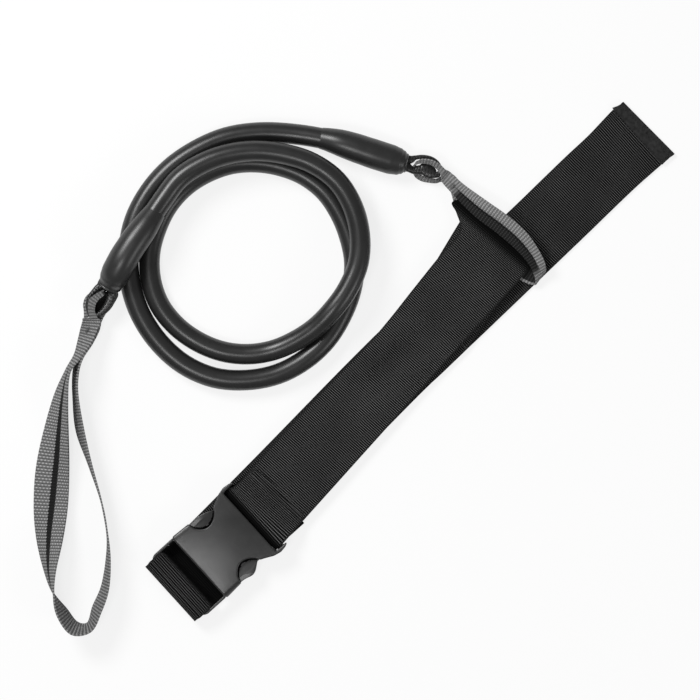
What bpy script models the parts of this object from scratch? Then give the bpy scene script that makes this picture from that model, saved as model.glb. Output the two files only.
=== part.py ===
"""Stationary swim tether, laid out flat: an elastic tube in a loose coil, an anchor loop, and a waist belt.

Metres, +Z up. The origin is on the surface that the tether lies on, below the middle of its outline.
+X runs to the right of the photograph and +Y to its top, so the plan view is the photograph.
"""

import math

import bmesh
import bpy
from mathutils import Matrix, Vector

MM = 0.001

# The photograph's pixels: the belt's webbing, 50 mm wide, covers 73.5 of them.
PIXEL = 0.68 * MM
CENTRE_PX = (353.65, 368.95)

# Clearances and overruns
GAP = 0.3 * MM
OVERRUN = 2.0 * MM

# Elastic tube, end sleeves and plugs
TUBE_RADIUS = 6.8 * MM
TUBE_STEP = 18.0 * MM
SLEEVE_LENGTH = 61.0 * MM
SLEEVE_BULGE_RADIUS = 10.0 * MM
SLEEVE_NECK_WALL = 0.8 * MM
SLEEVE_FIT = 0.55 * MM
MOUTH_RADII = {"left": 7.7 * MM, "right": 6.4 * MM}
MOUTH_WALL = 1.1 * MM
PLUG_RADIUS = 6.0 * MM
PLUG_LENGTH = 13.0 * MM
PLUG_DEPTH = 14.0 * MM
SHANK_RADIUS = 3.4 * MM
SHANK_LENGTH = 10.0 * MM

# Cord loops, one out of each sleeve's mouth
CORD_RADIUS = 1.8 * MM
CORD_SPREAD = 7.3 * MM
CORD_REACH = 22.5 * MM
CORD_HEIGHTS = {"left": 13.0 * MM, "right": 9.0 * MM}
CORD_PITCH = 2.5 * MM
CORD_DEPTH = 6.0 * MM

# Narrow webbing of the anchor loop and the keeper
LOOP_WIDTH = 25.0 * MM
LOOP_THICKNESS = 1.2 * MM
EYE_WIDTH = 5.6 * MM
EYE_START = 6.6 * MM
EYE_PLAY = 0.5 * MM
BARTACK = (5.0 * MM, 4.0 * MM, 0.5 * MM)
FLOOR_GAP = 0.1 * MM

# Belt webbing
BELT_WIDTH = 50.0 * MM
BELT_THICKNESS = 1.5 * MM
THREAD = 0.5 * MM
STITCH_LENGTH = 9.0 * MM
STITCH_INSET = 3.0 * MM
HEM_LENGTH = 9.5 * MM
SEWN_LENGTH = 23.0 * MM

# Side release buckle, in its own frame: u along it from the front edge of the socket, v across
SOCKET_LENGTH = 46.1 * MM
SOCKET_FRONT_HALF = 27.8 * MM
SOCKET_THICKNESS = 12.0 * MM
SOCKET_WALL = 2.0 * MM
SIDE_WALL = 1.2 * MM
WAIST_HALF = 23.9 * MM
EAR_LENGTH = 9.0 * MM
EAR_HALF = 29.4 * MM
EAR_ROOM = 1.6 * MM
CORNER = 0.8 * MM
BAR_RADIUS = 2.2 * MM
WINDOW_START = 13.7 * MM
WINDOW_END = 34.4 * MM
WINDOW_DEPTH = 9.6 * MM
FRAME_LENGTH = 20.4 * MM
FRAME_HALF = 27.2 * MM
FRAME_RAIL = 1.8 * MM
FRAME_BAR = 6.0 * MM
ROOT_LENGTH = 5.0 * MM
TONGUE_LENGTH = 26.0 * MM
TONGUE_HALF = 6.0 * MM
ARM_THICKNESS = 3.4 * MM
WRAP_REACH = 6.6 * MM

# Layers, from the surface up
TAIL_BASE = 0.0
RETURN_BASE = TAIL_BASE + BELT_THICKNESS + GAP
SOCKET_BASE = RETURN_BASE + BELT_THICKNESS + GAP
SEWN_BASE = SOCKET_BASE
WAIST_BASE = SEWN_BASE + BELT_THICKNESS + GAP
WAIST_TOP = WAIST_BASE + BELT_THICKNESS
KEEPER_LIFT = 6.4 * MM
KEEPER_LOW = (RETURN_BASE + BELT_THICKNESS + WAIST_BASE) / 2
PLATE = SOCKET_THICKNESS - 2 * (SOCKET_WALL + GAP)
PLATE_BASE = SOCKET_BASE + SOCKET_WALL + GAP
PLATE_TOP = PLATE_BASE + PLATE
BUCKLE_MIDDLE = SOCKET_BASE + SOCKET_THICKNESS / 2

# Directions in the plan, in degrees from +X
BUCKLE_ANGLE = 42.2
TAIL_ANGLE = 43.65

# Named places in the photograph
SOCKET_FRONT_PX = (199.4, 567.5)
WAIST_FOLD_PX = (505.0, 237.0)
TAIL_BEND_PX = (388.8, 373.6)
TAIL_END_PX = (649.2, 128.2)

# The tube's route, from the left mouth to the right one: photograph pixels and heights in mm
LEFT_SLEEVE_ROUTE = [
    (110.5, 284.5, 16.0),
    (119.0, 268.5, 23.2),
    (132.0, 246.5, 25.0),
    (145.0, 228.0, 24.2),
    (155.5, 212.5, 22.4),
]
RIGHT_SLEEVE_ROUTE = [
    (320.0, 138.0, 8.8),
    (339.0, 142.5, 10.6),
    (362.0, 150.0, 10.9),
    (383.0, 157.0, 10.4),
    (396.0, 160.8, 9.8),
    (406.5, 163.0, 9.4),
]
# The coil's stations round its own middle: degrees clockwise from the left, radius in pixels, height in mm
COIL_MIDDLE_PX = (252.0, 258.0)
COIL_ROUTE = [
    (45, 107.0, 21.4),
    (70, 106.0, 21.0),
    (98, 107.0, 20.9),
    (128, 113.5, 20.9),
    (150, 113.5, 20.9),
    (176, 108.6, 20.9),
    (196, 101.4, 20.9),
    (212, 95.4, 20.0),
    (232, 92.4, 14.0),
    (260, 93.2, 7.2),
    (290, 96.2, 6.8),
    (325, 101.3, 6.8),
    (355, 102.3, 6.8),
    (385, 99.6, 6.8),
    (415, 97.1, 6.8),
    (450, 95.8, 6.8),
    (490, 97.6, 6.8),
    (535, 100.4, 6.8),
    (560, 104.4, 6.8),
    (592, 111.8, 6.8),
    (620, 119.0, 6.8),
    (652, 126.9, 6.8),
    (678, 127.4, 6.8),
    (704, 126.1, 6.8),
    (732, 124.0, 6.8),
    (762, 122.4, 6.8),
    (794, 123.2, 6.8),
    (817, 127.2, 7.0),
]

# Webbing stations: photograph pixels, roll in degrees (0 lies flat, 90 stands on edge), width as a share
ANCHOR_SHARES = [
    (60.0, 404.0, 62, 1.0),
    (53.0, 461.0, 28, 1.0),
    (50.5, 503.0, 20, 1.0),
    (49.5, 538.0, 42, 1.0),
    (50.0, 571.0, 70, 1.0),
    (53.5, 593.0, 86, 1.0),
    (62.0, 612.0, 104, 1.0),
    (75.0, 626.5, 112, 1.0),
    (88.0, 624.5, 112, 1.0),
    (98.0, 609.0, 106, 1.0),
    (105.0, 588.0, 103, 1.0),
    (108.3, 561.0, 98, 1.0),
    (107.6, 535.0, 93, 1.0),
    (101.6, 502.0, 93, 1.0),
    (90.0, 464.0, 97, 1.0),
    (80.0, 430.0, 104, 1.0),
    (75.6, 396.0, 100, 1.0),
]
# The throat's middle line, where the two layers lie together
ANCHOR_THROAT_SHARES = [
    (91.5, 321.0, 8, 0.34),
    (90.0, 329.0, 24, 0.62),
    (85.0, 342.5, 50, 0.76),
    (78.5, 357.0, 77, 1.0),
]


def px(x, y):
    """A photograph pixel's place in the plan."""
    return Vector(((x - CENTRE_PX[0]) * PIXEL, (CENTRE_PX[1] - y) * PIXEL, 0.0))


def heading(degrees):
    angle = math.radians(degrees)
    return Vector((math.cos(angle), math.sin(angle), 0.0))


def left_of(direction):
    return Vector((-direction.y, direction.x, 0.0))


def clear_scene():
    for obj in list(bpy.data.objects):
        bpy.data.objects.remove(obj, do_unlink=True)


def new_collection(name):
    made = bpy.data.collections.new(name)
    bpy.context.scene.collection.children.link(made)
    return made


def new_material(name, colour, roughness, metallic=0.0):
    made = bpy.data.materials.new(name)
    made.use_nodes = True
    shader = made.node_tree.nodes["Principled BSDF"]
    shader.inputs["Base Color"].default_value = (*colour, 1.0)
    shader.inputs["Roughness"].default_value = roughness
    shader.inputs["Metallic"].default_value = metallic
    return made


clear_scene()
PARTS = new_collection("swim_tether")
CUTTERS = new_collection("swim_tether_cutters")

TUBE_BLACK = ((0.020, 0.020, 0.021), 0.42)
SLEEVE_BLACK = ((0.024, 0.024, 0.025), 0.5)
PLUG_BLACK = ((0.05, 0.05, 0.05), 0.5)
CORD_BLACK = ((0.015, 0.015, 0.015), 0.6)
WEBBING_GREY = ((0.24, 0.24, 0.245), 0.85)
THREAD_GREY = ((0.2, 0.2, 0.2), 0.8)
BELT_BLACK = ((0.016, 0.016, 0.017), 0.85)
THREAD_BLACK = ((0.02, 0.02, 0.02), 0.8)
ACETAL_BLACK = ((0.030, 0.030, 0.031), 0.4)


def place(name, mesh, look, frame=None, cutter=False):
    """An object made from a mesh, in a frame's coordinates when there is one."""
    obj = bpy.data.objects.new(name, mesh)
    (CUTTERS if cutter else PARTS).objects.link(obj)
    if frame is not None:
        obj.parent = frame
    if cutter:
        obj.hide_render = True
        obj.display_type = "WIRE"
    else:
        obj.data.materials.append(new_material(name, *look))
    return obj


def frame_at(name, place_at, degrees):
    empty = bpy.data.objects.new(name, None)
    PARTS.objects.link(empty)
    empty.location = place_at
    empty.rotation_euler = (0.0, 0.0, math.radians(degrees))
    return empty


def smooth(obj, degrees=35.0):
    obj.data.shade_smooth()
    obj.data.set_sharp_from_angle(angle=math.radians(degrees))
    return obj


def mesh_of_curve(curve, merge):
    """A curve's mesh, with its caps welded to its sides."""
    holder = bpy.data.objects.new("holder", curve)
    PARTS.objects.link(holder)
    graph = bpy.context.evaluated_depsgraph_get()
    graph.update()
    mesh = bpy.data.meshes.new_from_object(holder.evaluated_get(graph))
    bpy.data.objects.remove(holder, do_unlink=True)
    shape = bmesh.new()
    shape.from_mesh(mesh)
    bmesh.ops.remove_doubles(shape, verts=shape.verts, dist=merge)
    bmesh.ops.recalc_face_normals(shape, faces=shape.faces)
    shape.to_mesh(mesh)
    shape.free()
    return mesh


MERGE = 0.01 * MM


def flat_mesh(outlines, thickness, base):
    """A plate between base and base + thickness, from closed outlines. An inner outline is a hole."""
    curve = bpy.data.curves.new("outline", "CURVE")
    curve.dimensions = "2D"
    curve.fill_mode = "BOTH"
    curve.extrude = thickness / 2
    for outline in outlines:
        spline = curve.splines.new("POLY")
        spline.points.add(len(outline) - 1)
        for point, (x, y) in zip(spline.points, outline):
            point.co = (x, y, 0.0, 1.0)
        spline.use_cyclic_u = True
    mesh = mesh_of_curve(curve, MERGE)
    mesh.transform(Matrix.Translation((0.0, 0.0, base + thickness / 2)))
    return mesh


def side_mesh(line, thickness, half_width):
    """Webbing that keeps one direction in the plan: its middle line as (along, height), swept across."""
    points = [Vector(p) for p in line]
    upper, lower = [], []
    for i, point in enumerate(points):
        before = (point - points[i - 1]).normalized() if i else None
        after = (points[i + 1] - point).normalized() if i < len(points) - 1 else None
        if before is None or after is None:
            along = before or after
            reach = 1.0
        else:
            along = (before + after).normalized()
            reach = 1.0 / max(along.dot(after), 0.5)
        normal = Vector((-along.y, along.x)) * (thickness / 2 * reach)
        upper.append(point + normal)
        lower.append(point - normal)
    outline = [tuple(p) for p in upper + lower[::-1]]
    mesh = flat_mesh([outline], 2 * half_width, -half_width)
    mesh.transform(Matrix.Rotation(math.radians(90.0), 4, "X"))
    return mesh


def tube_mesh(points, radii, resolution):
    """A round tube through the points, with a radius at each."""
    curve = bpy.data.curves.new("tube", "CURVE")
    curve.dimensions = "3D"
    curve.bevel_depth = max(radii)
    curve.bevel_resolution = resolution
    curve.use_fill_caps = True
    spline = curve.splines.new("POLY")
    spline.points.add(len(points) - 1)
    for point, co, radius in zip(spline.points, points, radii):
        point.co = (*co, 1.0)
        point.radius = radius / max(radii)
    return mesh_of_curve(curve, MERGE)


def cut(obj, cutter, operation="DIFFERENCE"):
    modifier = obj.modifiers.new(cutter.name, "BOOLEAN")
    modifier.operation = operation
    modifier.solver = "EXACT"
    modifier.object = cutter
    return obj


def curve_through(points, per_span):
    """Points of a smooth curve through the given ones, closer together where they are."""
    out = []
    last = len(points) - 1
    for i in range(last):
        p0 = points[i - 1] if i else points[0] * 2 - points[1]
        p1, p2 = points[i], points[i + 1]
        p3 = points[i + 2] if i + 2 <= last else points[last] * 2 - points[last - 1]
        t0, t1 = 0.0, (p1 - p0).length ** 0.5
        t2 = t1 + (p2 - p1).length ** 0.5
        t3 = t2 + (p3 - p2).length ** 0.5
        for k in range(per_span):
            t = t1 + (t2 - t1) * k / per_span
            a1 = p0 * ((t1 - t) / (t1 - t0)) + p1 * ((t - t0) / (t1 - t0))
            a2 = p1 * ((t2 - t) / (t2 - t1)) + p2 * ((t - t1) / (t2 - t1))
            a3 = p2 * ((t3 - t) / (t3 - t2)) + p3 * ((t - t2) / (t3 - t2))
            b1 = a1 * ((t2 - t) / (t2 - t0)) + a2 * ((t - t0) / (t2 - t0))
            b2 = a2 * ((t3 - t) / (t3 - t1)) + a3 * ((t - t1) / (t3 - t1))
            out.append(b1 * ((t2 - t) / (t2 - t1)) + b2 * ((t - t1) / (t2 - t1)))
    out.append(points[last].copy())
    return out


class Route:
    """A smooth route that is read by its length."""

    def __init__(self, points):
        self.points = points
        self.reach = [0.0]
        for a, b in zip(points, points[1:]):
            self.reach.append(self.reach[-1] + (b - a).length)
        self.length = self.reach[-1]

    def at(self, s):
        s = min(max(s, 0.0), self.length)
        low, high = 0, len(self.reach) - 1
        while high - low > 1:
            middle = (low + high) // 2
            if self.reach[middle] <= s:
                low = middle
            else:
                high = middle
        share = (s - self.reach[low]) / (self.reach[high] - self.reach[low])
        return self.points[low].lerp(self.points[high], share)

    def along(self, s):
        step = self.length / 2000
        return (self.at(s + step) - self.at(s - step)).normalized()


def route_points():
    points = [px(x, y) + Vector((0, 0, z * MM)) for x, y, z in LEFT_SLEEVE_ROUTE]
    for degrees, radius, z in COIL_ROUTE:
        angle = math.radians(180.0 - degrees)
        x = COIL_MIDDLE_PX[0] + radius * math.cos(angle)
        y = COIL_MIDDLE_PX[1] - radius * math.sin(angle)
        points.append(px(x, y) + Vector((0, 0, z * MM)))
    points += [px(x, y) + Vector((0, 0, z * MM)) for x, y, z in RIGHT_SLEEVE_ROUTE]
    return points


ROUTE = Route(curve_through(route_points(), 12))

# Elastic tube: it ends inside each sleeve, where the plug's shank fills its bore
TUBE_START = PLUG_DEPTH + PLUG_LENGTH + GAP


def least_gap(route, start, end, radius):
    """The least gap between stretches of the tube that don't follow one another."""
    count = 400
    places = [start + (end - start) * i / count for i in range(count + 1)]
    points = [route.at(s) for s in places]
    apart = 8 * radius
    least = min(
        (points[i] - points[j]).length
        for i in range(len(points))
        for j in range(i + 1, len(points))
        if places[j] - places[i] > apart
    )
    return least - 2 * radius


def build_tube():
    start, end = TUBE_START, ROUTE.length - TUBE_START
    first, last = start + TUBE_RADIUS / 2, end - TUBE_RADIUS / 2
    count = round((last - first) / TUBE_STEP)
    points = [ROUTE.at(first + (last - first) * i / count) for i in range(count + 1)]
    points = [ROUTE.at(start)] + points + [ROUTE.at(end)]
    tube = place("elastic_tube", tube_mesh(points, [TUBE_RADIUS] * len(points), 1), TUBE_BLACK)
    print("tube length mm", round((end - start) / MM, 1))
    print("least gap of the tube to itself mm", round(least_gap(ROUTE, start, end, TUBE_RADIUS) / MM, 2))
    for side, first, second in (("left", points[0], points[1]), ("right", points[-1], points[-2])):
        along = (second - first).normalized()
        bore_radius = SHANK_RADIUS + 3 * GAP
        ends = [first - along * OVERRUN, first + along * (SHANK_LENGTH + 2 * GAP)]
        bore = tube_mesh(ends, [bore_radius] * 2, 2)
        cut(tube, place("tube_bore_" + side, bore, None, cutter=True))
    return smooth(tube, 60.0)


# The sleeve's outer and inner radius at shares of its length from the mouth
SLEEVE_OUTER_SHARES = [0.0, 0.06, 0.14, 0.26, 0.40, 0.54, 0.68, 0.82, 0.94, 1.0]


BULGE_START_SHARE, BULGE_END_SHARE = 0.30, 0.58


def sleeve_outer(side, share):
    """Grows from the mouth to the bulge over the plug, then draws in to the neck on the tube."""
    neck = TUBE_RADIUS + SLEEVE_FIT + SLEEVE_NECK_WALL
    mouth = MOUTH_RADII[side]
    if share < BULGE_START_SHARE:
        return mouth + (SLEEVE_BULGE_RADIUS - mouth) * math.sin(math.pi / 2 * share / BULGE_START_SHARE)
    if share < BULGE_END_SHARE:
        return SLEEVE_BULGE_RADIUS
    fall = 0.5 - 0.5 * math.cos(math.pi * (share - BULGE_END_SHARE) / (1 - BULGE_END_SHARE))
    return SLEEVE_BULGE_RADIUS + (neck - SLEEVE_BULGE_RADIUS) * fall


def sleeve_inner(side, share):
    """Follows the outside, one wall in, and fits the tube at the neck."""
    neck = TUBE_RADIUS + SLEEVE_FIT
    return max(sleeve_outer(side, share) - MOUTH_WALL, neck) if share > 0.9 else sleeve_outer(side, share) - MOUTH_WALL


def build_sleeve(side):
    def at(share):
        s = share * SLEEVE_LENGTH
        return ROUTE.at(s if side == "left" else ROUTE.length - s)

    points = [at(share) for share in SLEEVE_OUTER_SHARES]
    radii = [sleeve_outer(side, share) for share in SLEEVE_OUTER_SHARES]
    sleeve = place("sleeve_" + side, tube_mesh(points, radii, 4), SLEEVE_BLACK)
    inner = list(points)
    inner[0] = points[0] + (points[0] - points[1]).normalized() * OVERRUN
    inner[-1] = points[-1] + (points[-1] - points[-2]).normalized() * OVERRUN
    inner_radii = [sleeve_inner(side, share) for share in SLEEVE_OUTER_SHARES]
    bore = place("sleeve_bore_" + side, tube_mesh(inner, inner_radii, 4), None, cutter=True)
    cut(sleeve, bore)
    return smooth(sleeve, 50.0)


class Link:
    """Where a cord loop leaves a mouth: a point, the way out, and across."""

    def __init__(self, side, out_degrees):
        self.side = side
        self.mouth = ROUTE.at(0.0 if side == "left" else ROUTE.length)
        self.out = heading(out_degrees)
        self.across = left_of(self.out)
        self.height = CORD_HEIGHTS[side]
        self.pivot = self.at(EYE_START, 0.0)
        # The plug follows the tube's end, so it lies on the route's direction there.
        if side == "left":
            tube_end, self.plug_way = ROUTE.at(TUBE_START), -ROUTE.along(TUBE_START)
        else:
            tube_end = ROUTE.at(ROUTE.length - TUBE_START)
            self.plug_way = ROUTE.along(ROUTE.length - TUBE_START)
        self.plug_back = tube_end + self.plug_way * GAP
        self.plug_front = self.plug_back + self.plug_way * PLUG_LENGTH

    def at(self, d, e):
        flat = self.mouth + self.out * d + self.across * e
        return Vector((flat.x, flat.y, self.height))


LEFT_LINK = Link("left", 233.0)
RIGHT_LINK = Link("right", 343.0)


def cord_points(link):
    """The cord loop's middle line, from one bore of the plug round to the other."""
    front = link.plug_front
    back = front - link.plug_way * CORD_DEPTH
    side_way = left_of(Vector((link.plug_way.x, link.plug_way.y, 0.0)).normalized())
    half = []
    for point in (back, front):
        half.append(point + side_way * CORD_PITCH)
    mouth = link.mouth + link.across * CORD_PITCH
    half.append(mouth)
    turn = [(0.20, 0.70), (0.36, 1.0), (0.58, 0.98), (0.80, 0.72), (0.94, 0.36)]
    for reach_share, spread_share in turn:
        half.append(link.at(CORD_REACH * reach_share, CORD_SPREAD * spread_share))
    tip = link.at(CORD_REACH, 0.0)
    other = []
    for point in (back, front):
        other.append(point - side_way * CORD_PITCH)
    other.append(link.mouth - link.across * CORD_PITCH)
    for reach_share, spread_share in turn:
        other.append(link.at(CORD_REACH * reach_share, -CORD_SPREAD * spread_share))
    return half + [tip] + other[::-1]


def build_link(link):
    guide = cord_points(link)
    points = curve_through(guide, 3)
    cord = place(
        "cord_loop_" + link.side, tube_mesh(points, [CORD_RADIUS] * len(points), 2), CORD_BLACK
    )
    smooth(cord, 60.0)
    front, back = link.plug_front, link.plug_back
    shank = tube_mesh([front.lerp(back, 0.5), back - link.plug_way * SHANK_LENGTH], [SHANK_RADIUS] * 2, 2)
    plug = place("plug_" + link.side, tube_mesh([front, back], [PLUG_RADIUS] * 2, 4), PLUG_BLACK)
    cut(plug, place("plug_shank_" + link.side, shank, None, cutter=True), "UNION")
    for name, first, second in (("a", guide[0], guide[1]), ("b", guide[-1], guide[-2])):
        way = (second - first).normalized()
        ends = [first - way * GAP, second + way * OVERRUN]
        bore = tube_mesh(ends, [CORD_RADIUS + 2 * GAP] * 2, 2)
        cut(plug, place("plug_bore_%s_%s" % (link.side, name), bore, None, cutter=True))
    return smooth(plug, 50.0)


def loft_loop(stations, floor):
    """A closed loop of webbing from stations of (middle, unit vector across, width), kept above floor."""
    count = len(stations)
    shape = bmesh.new()
    rings = []
    for i, (middle, across, width) in enumerate(stations):
        along = (stations[(i + 1) % count][0] - stations[i - 1][0]).normalized()
        across = (across - along * across.dot(along)).normalized()
        normal = along.cross(across)
        corners = [
            middle + across * (a * width / 2) + normal * (b * LOOP_THICKNESS / 2)
            for a, b in ((-1, -1), (0, -1), (1, -1), (1, 1), (0, 1), (-1, 1))
        ]
        lift = Vector((0, 0, max(floor - min(co.z for co in corners), 0.0)))
        ring = [shape.verts.new(co + lift) for co in corners]
        rings.append(ring)
    for i in range(count):
        ring, following = rings[i], rings[(i + 1) % count]
        for k in range(6):
            m = (k + 1) % 6
            shape.faces.new((ring[k], ring[m], following[m], following[k]))
    bmesh.ops.triangulate(shape, faces=shape.faces)
    bmesh.ops.recalc_face_normals(shape, faces=shape.faces)
    mesh = bpy.data.meshes.new("webbing")
    shape.to_mesh(mesh)
    shape.free()
    return mesh


def edge_height(roll, width):
    """The height of a rolled strip's middle line when its lower edge is on the surface."""
    turn = math.radians(roll)
    return width / 2 * abs(math.sin(turn)) + LOOP_THICKNESS / 2 * abs(math.cos(turn))


def smooth_stations(stations, per_span):
    """Stations of (middle, across, width) on a closed smooth curve through the given ones."""
    count = len(stations)
    out = []
    for i in range(count):
        p0, p1, p2, p3 = (stations[(i + k) % count][0] for k in (-1, 0, 1, 2))
        for k in range(per_span):
            t = k / per_span
            a = (p2 - p0) * 0.5
            b = (p3 - p1) * 0.5
            middle = (
                p1 * (2 * t**3 - 3 * t**2 + 1)
                + a * (t**3 - 2 * t**2 + t)
                + p2 * (3 * t**2 - 2 * t**3)
                + b * (t**3 - t**2)
            )
            w1, w2 = stations[i][1], stations[(i + 1) % count][1]
            across = w1.lerp(w2, t).normalized()
            ease = t * t * (3 - 2 * t)
            width = stations[i][2] + (stations[(i + 1) % count][2] - stations[i][2]) * ease
            out.append((middle, across, width))
    return out


EYE_RADIUS = CORD_RADIUS + EYE_PLAY + LOOP_THICKNESS / 2


def eye_stations(link, arm_bends):
    """The small eye that holds the cord loop: in along the lower arm, up inside the cord, out along the upper."""
    out = []
    far = CORD_REACH - EYE_START + CORD_RADIUS
    for reach_share, bend_share in arm_bends:
        point = link.at(EYE_START + EYE_RADIUS + far * reach_share, LOOP_WIDTH * bend_share)
        point.z = link.height - EYE_RADIUS
        out.append((point, link.across, EYE_WIDTH))
    for degrees in (-90, -45, 0, 45, 90):
        turn = math.radians(degrees)
        point = link.at(EYE_START + EYE_RADIUS * (1 - math.cos(turn)), 0.0)
        point.z = link.height + EYE_RADIUS * math.sin(turn)
        out.append((point, link.across, EYE_WIDTH))
    for reach_share, bend_share in arm_bends[::-1]:
        point = link.at(EYE_START + EYE_RADIUS + far * reach_share, LOOP_WIDTH * bend_share)
        point.z = link.height + EYE_RADIUS
        out.append((point, link.across, EYE_WIDTH))
    return out


def rolled(along, roll):
    """The unit vector across a strip that runs along and is rolled about it."""
    turn = math.radians(roll)
    return left_of(along.normalized()) * math.cos(turn) + Vector((0, 0, math.sin(turn)))


LAYER_HALF = (LOOP_THICKNESS + GAP) / 2
PER_SPAN = 4


def build_anchor():
    throat = []
    places = [px(x, y) for x, y, _, _ in ANCHOR_THROAT_SHARES]
    for i, (_, _, roll, width_share) in enumerate(ANCHOR_THROAT_SHARES):
        along = places[min(i + 1, len(places) - 1)] - places[max(i - 1, 0)]
        across = rolled(along, roll)
        width = LOOP_WIDTH * width_share
        height = max(edge_height(roll, width) + LAYER_HALF, LEFT_LINK.height * (1 - i * 0.12))
        middle = places[i] + Vector((0, 0, height))
        normal = along.normalized().cross(across)
        throat.append((middle, across, width, normal))
    upper = [(m + n * LAYER_HALF, a, w) for m, a, w, n in throat]
    lower = [(m - n * LAYER_HALF, a, w) for m, a, w, n in throat]
    arms = []
    places = [px(x, y) for x, y, _, _ in ANCHOR_SHARES]
    for i, (_, _, roll, width_share) in enumerate(ANCHOR_SHARES):
        before = places[i - 1] if i else upper[-1][0]
        after = places[i + 1] if i + 1 < len(places) else lower[-1][0]
        along = after - before
        along.z = 0.0
        width = LOOP_WIDTH * width_share
        middle = places[i] + Vector((0, 0, edge_height(roll, width)))
        arms.append((middle, rolled(along, roll), width))
    eye = eye_stations(LEFT_LINK, [(1.0, 0.0), (0.5, 0.0)])
    stations = smooth_stations(eye + upper + arms + lower[::-1], PER_SPAN)
    anchor = place("anchor_webbing", loft_loop(stations, FLOOR_GAP), WEBBING_GREY)
    build_bartack("anchor_stitching", stations, (len(eye) + 1) * PER_SPAN, THREAD_GREY)
    return smooth(anchor, 40.0)


def build_bartack(name, stations, index, look):
    """A small pad of thread on the outer layer, lying on one of the webbing's stations."""
    length, width, thickness = BARTACK
    middle, across, _ = stations[index]
    along = (stations[index + 1][0] - stations[index - 1][0]).normalized()
    across = (across - along * across.dot(along)).normalized()
    normal = along.cross(across)
    shape = bmesh.new()
    bmesh.ops.create_cube(shape, size=1.0)
    bmesh.ops.scale(shape, vec=(length, width, thickness), verts=shape.verts)
    mesh = bpy.data.meshes.new(name)
    shape.to_mesh(mesh)
    shape.free()
    turn = Matrix((along, across, normal)).transposed().to_4x4()
    raised = LOOP_THICKNESS / 2 + GAP + thickness
    mesh.transform(Matrix.Translation(middle + normal * raised) @ turn)
    return place(name, mesh, look)


# The keeper's upper arm over the belt and its lower arm inside the belt's fold
KEEPER_THROAT_SHARES = [(446.5, 177.0, 10, 0.36), (455.0, 185.0, 20, 0.42)]
KEEPER_UPPER_SHARES = [
    (467.0, 197.0, 0.41, 0.46),
    (482.0, 209.5, 0.81, 0.54),
    (501.0, 223.5, 1.0, 0.56),
    (519.0, 238.5, 0.97, 0.56),
    (533.0, 255.5, 0.69, 0.54),
    (541.5, 269.0, 0.26, 0.50),
]
KEEPER_LOWER_PX = [(539.5, 280.0), (523.0, 271.0), (504.0, 253.0), (485.0, 235.5), (466.0, 214.0)]
KEEPER_LOWER_SHARE = 0.48


def build_keeper():
    eye = eye_stations(RIGHT_LINK, [(1.0, 0.0), (0.5, 0.0)])
    stations = []
    throat = []
    places = [px(x, y) for x, y, _, _ in KEEPER_THROAT_SHARES]
    along = px(*KEEPER_UPPER_SHARES[1][:2]) - px(*KEEPER_THROAT_SHARES[0][:2])
    for i, (_, _, roll, width_share) in enumerate(KEEPER_THROAT_SHARES):
        middle = places[i] + Vector((0, 0, RIGHT_LINK.height))
        across = rolled(along, roll)
        throat.append((middle, across, LOOP_WIDTH * width_share, along.normalized().cross(across)))
    upper = [(m + n * LAYER_HALF, a, w) for m, a, w, n in throat]
    lower = [(m - n * LAYER_HALF, a, w) for m, a, w, n in throat]
    arm = []
    for i, (x, y, lift, width_share) in enumerate(KEEPER_UPPER_SHARES):
        before = px(*KEEPER_UPPER_SHARES[max(i - 1, 0)][:2])
        after = px(*KEEPER_UPPER_SHARES[min(i + 1, len(KEEPER_UPPER_SHARES) - 1)][:2])
        height = WAIST_TOP + GAP + LOOP_THICKNESS + KEEPER_LIFT * lift
        arm.append((px(x, y) + Vector((0, 0, height)), rolled(after - before, 12), LOOP_WIDTH * width_share))
    back = []
    for i, (x, y) in enumerate(KEEPER_LOWER_PX):
        before = px(*KEEPER_LOWER_PX[max(i - 1, 0)])
        after = px(*KEEPER_LOWER_PX[min(i + 1, len(KEEPER_LOWER_PX) - 1)])
        across = rolled(after - before, 180)
        back.append((px(x, y) + Vector((0, 0, KEEPER_LOW)), across, LOOP_WIDTH * KEEPER_LOWER_SHARE))
    stations = smooth_stations(eye + upper + arm + back + lower[::-1], PER_SPAN)
    keeper = place("keeper_webbing", loft_loop(stations, RETURN_BASE + GAP), WEBBING_GREY)
    build_bartack("keeper_stitching", stations, (len(eye) + 1) * PER_SPAN, THREAD_GREY)
    return smooth(keeper, 40.0)


# Buckle
SOCKET_AT = px(*SOCKET_FRONT_PX)
BUCKLE = frame_at("buckle_frame", SOCKET_AT, BUCKLE_ANGLE)
BAR_U = SOCKET_LENGTH + EAR_LENGTH / 2
SLOT_START = -FRAME_LENGTH + FRAME_BAR
BELT_HALF = BELT_WIDTH / 2


def mirrored(points):
    """The outline's half at +v, and its mirror image."""
    return points + [(u, -v) for u, v in reversed(points)]




def window_outline():
    """One thumb window at +v: a bowl cut into the socket's side."""
    length = WINDOW_END - WINDOW_START
    outer = SOCKET_FRONT_HALF + OVERRUN
    bowl = []
    steps = 10
    for i in range(steps + 1):
        share = i / steps
        u = WINDOW_START + length * share
        depth = WINDOW_DEPTH * math.sin(math.pi * share ** 0.8) ** 0.7
        side = SOCKET_FRONT_HALF - SIDE_WALL + (WAIST_HALF - SOCKET_FRONT_HALF) * share
        bowl.append((u, side + SIDE_WALL - depth))
    return [(WINDOW_START, outer)] + bowl + [(WINDOW_END, outer)]


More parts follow.
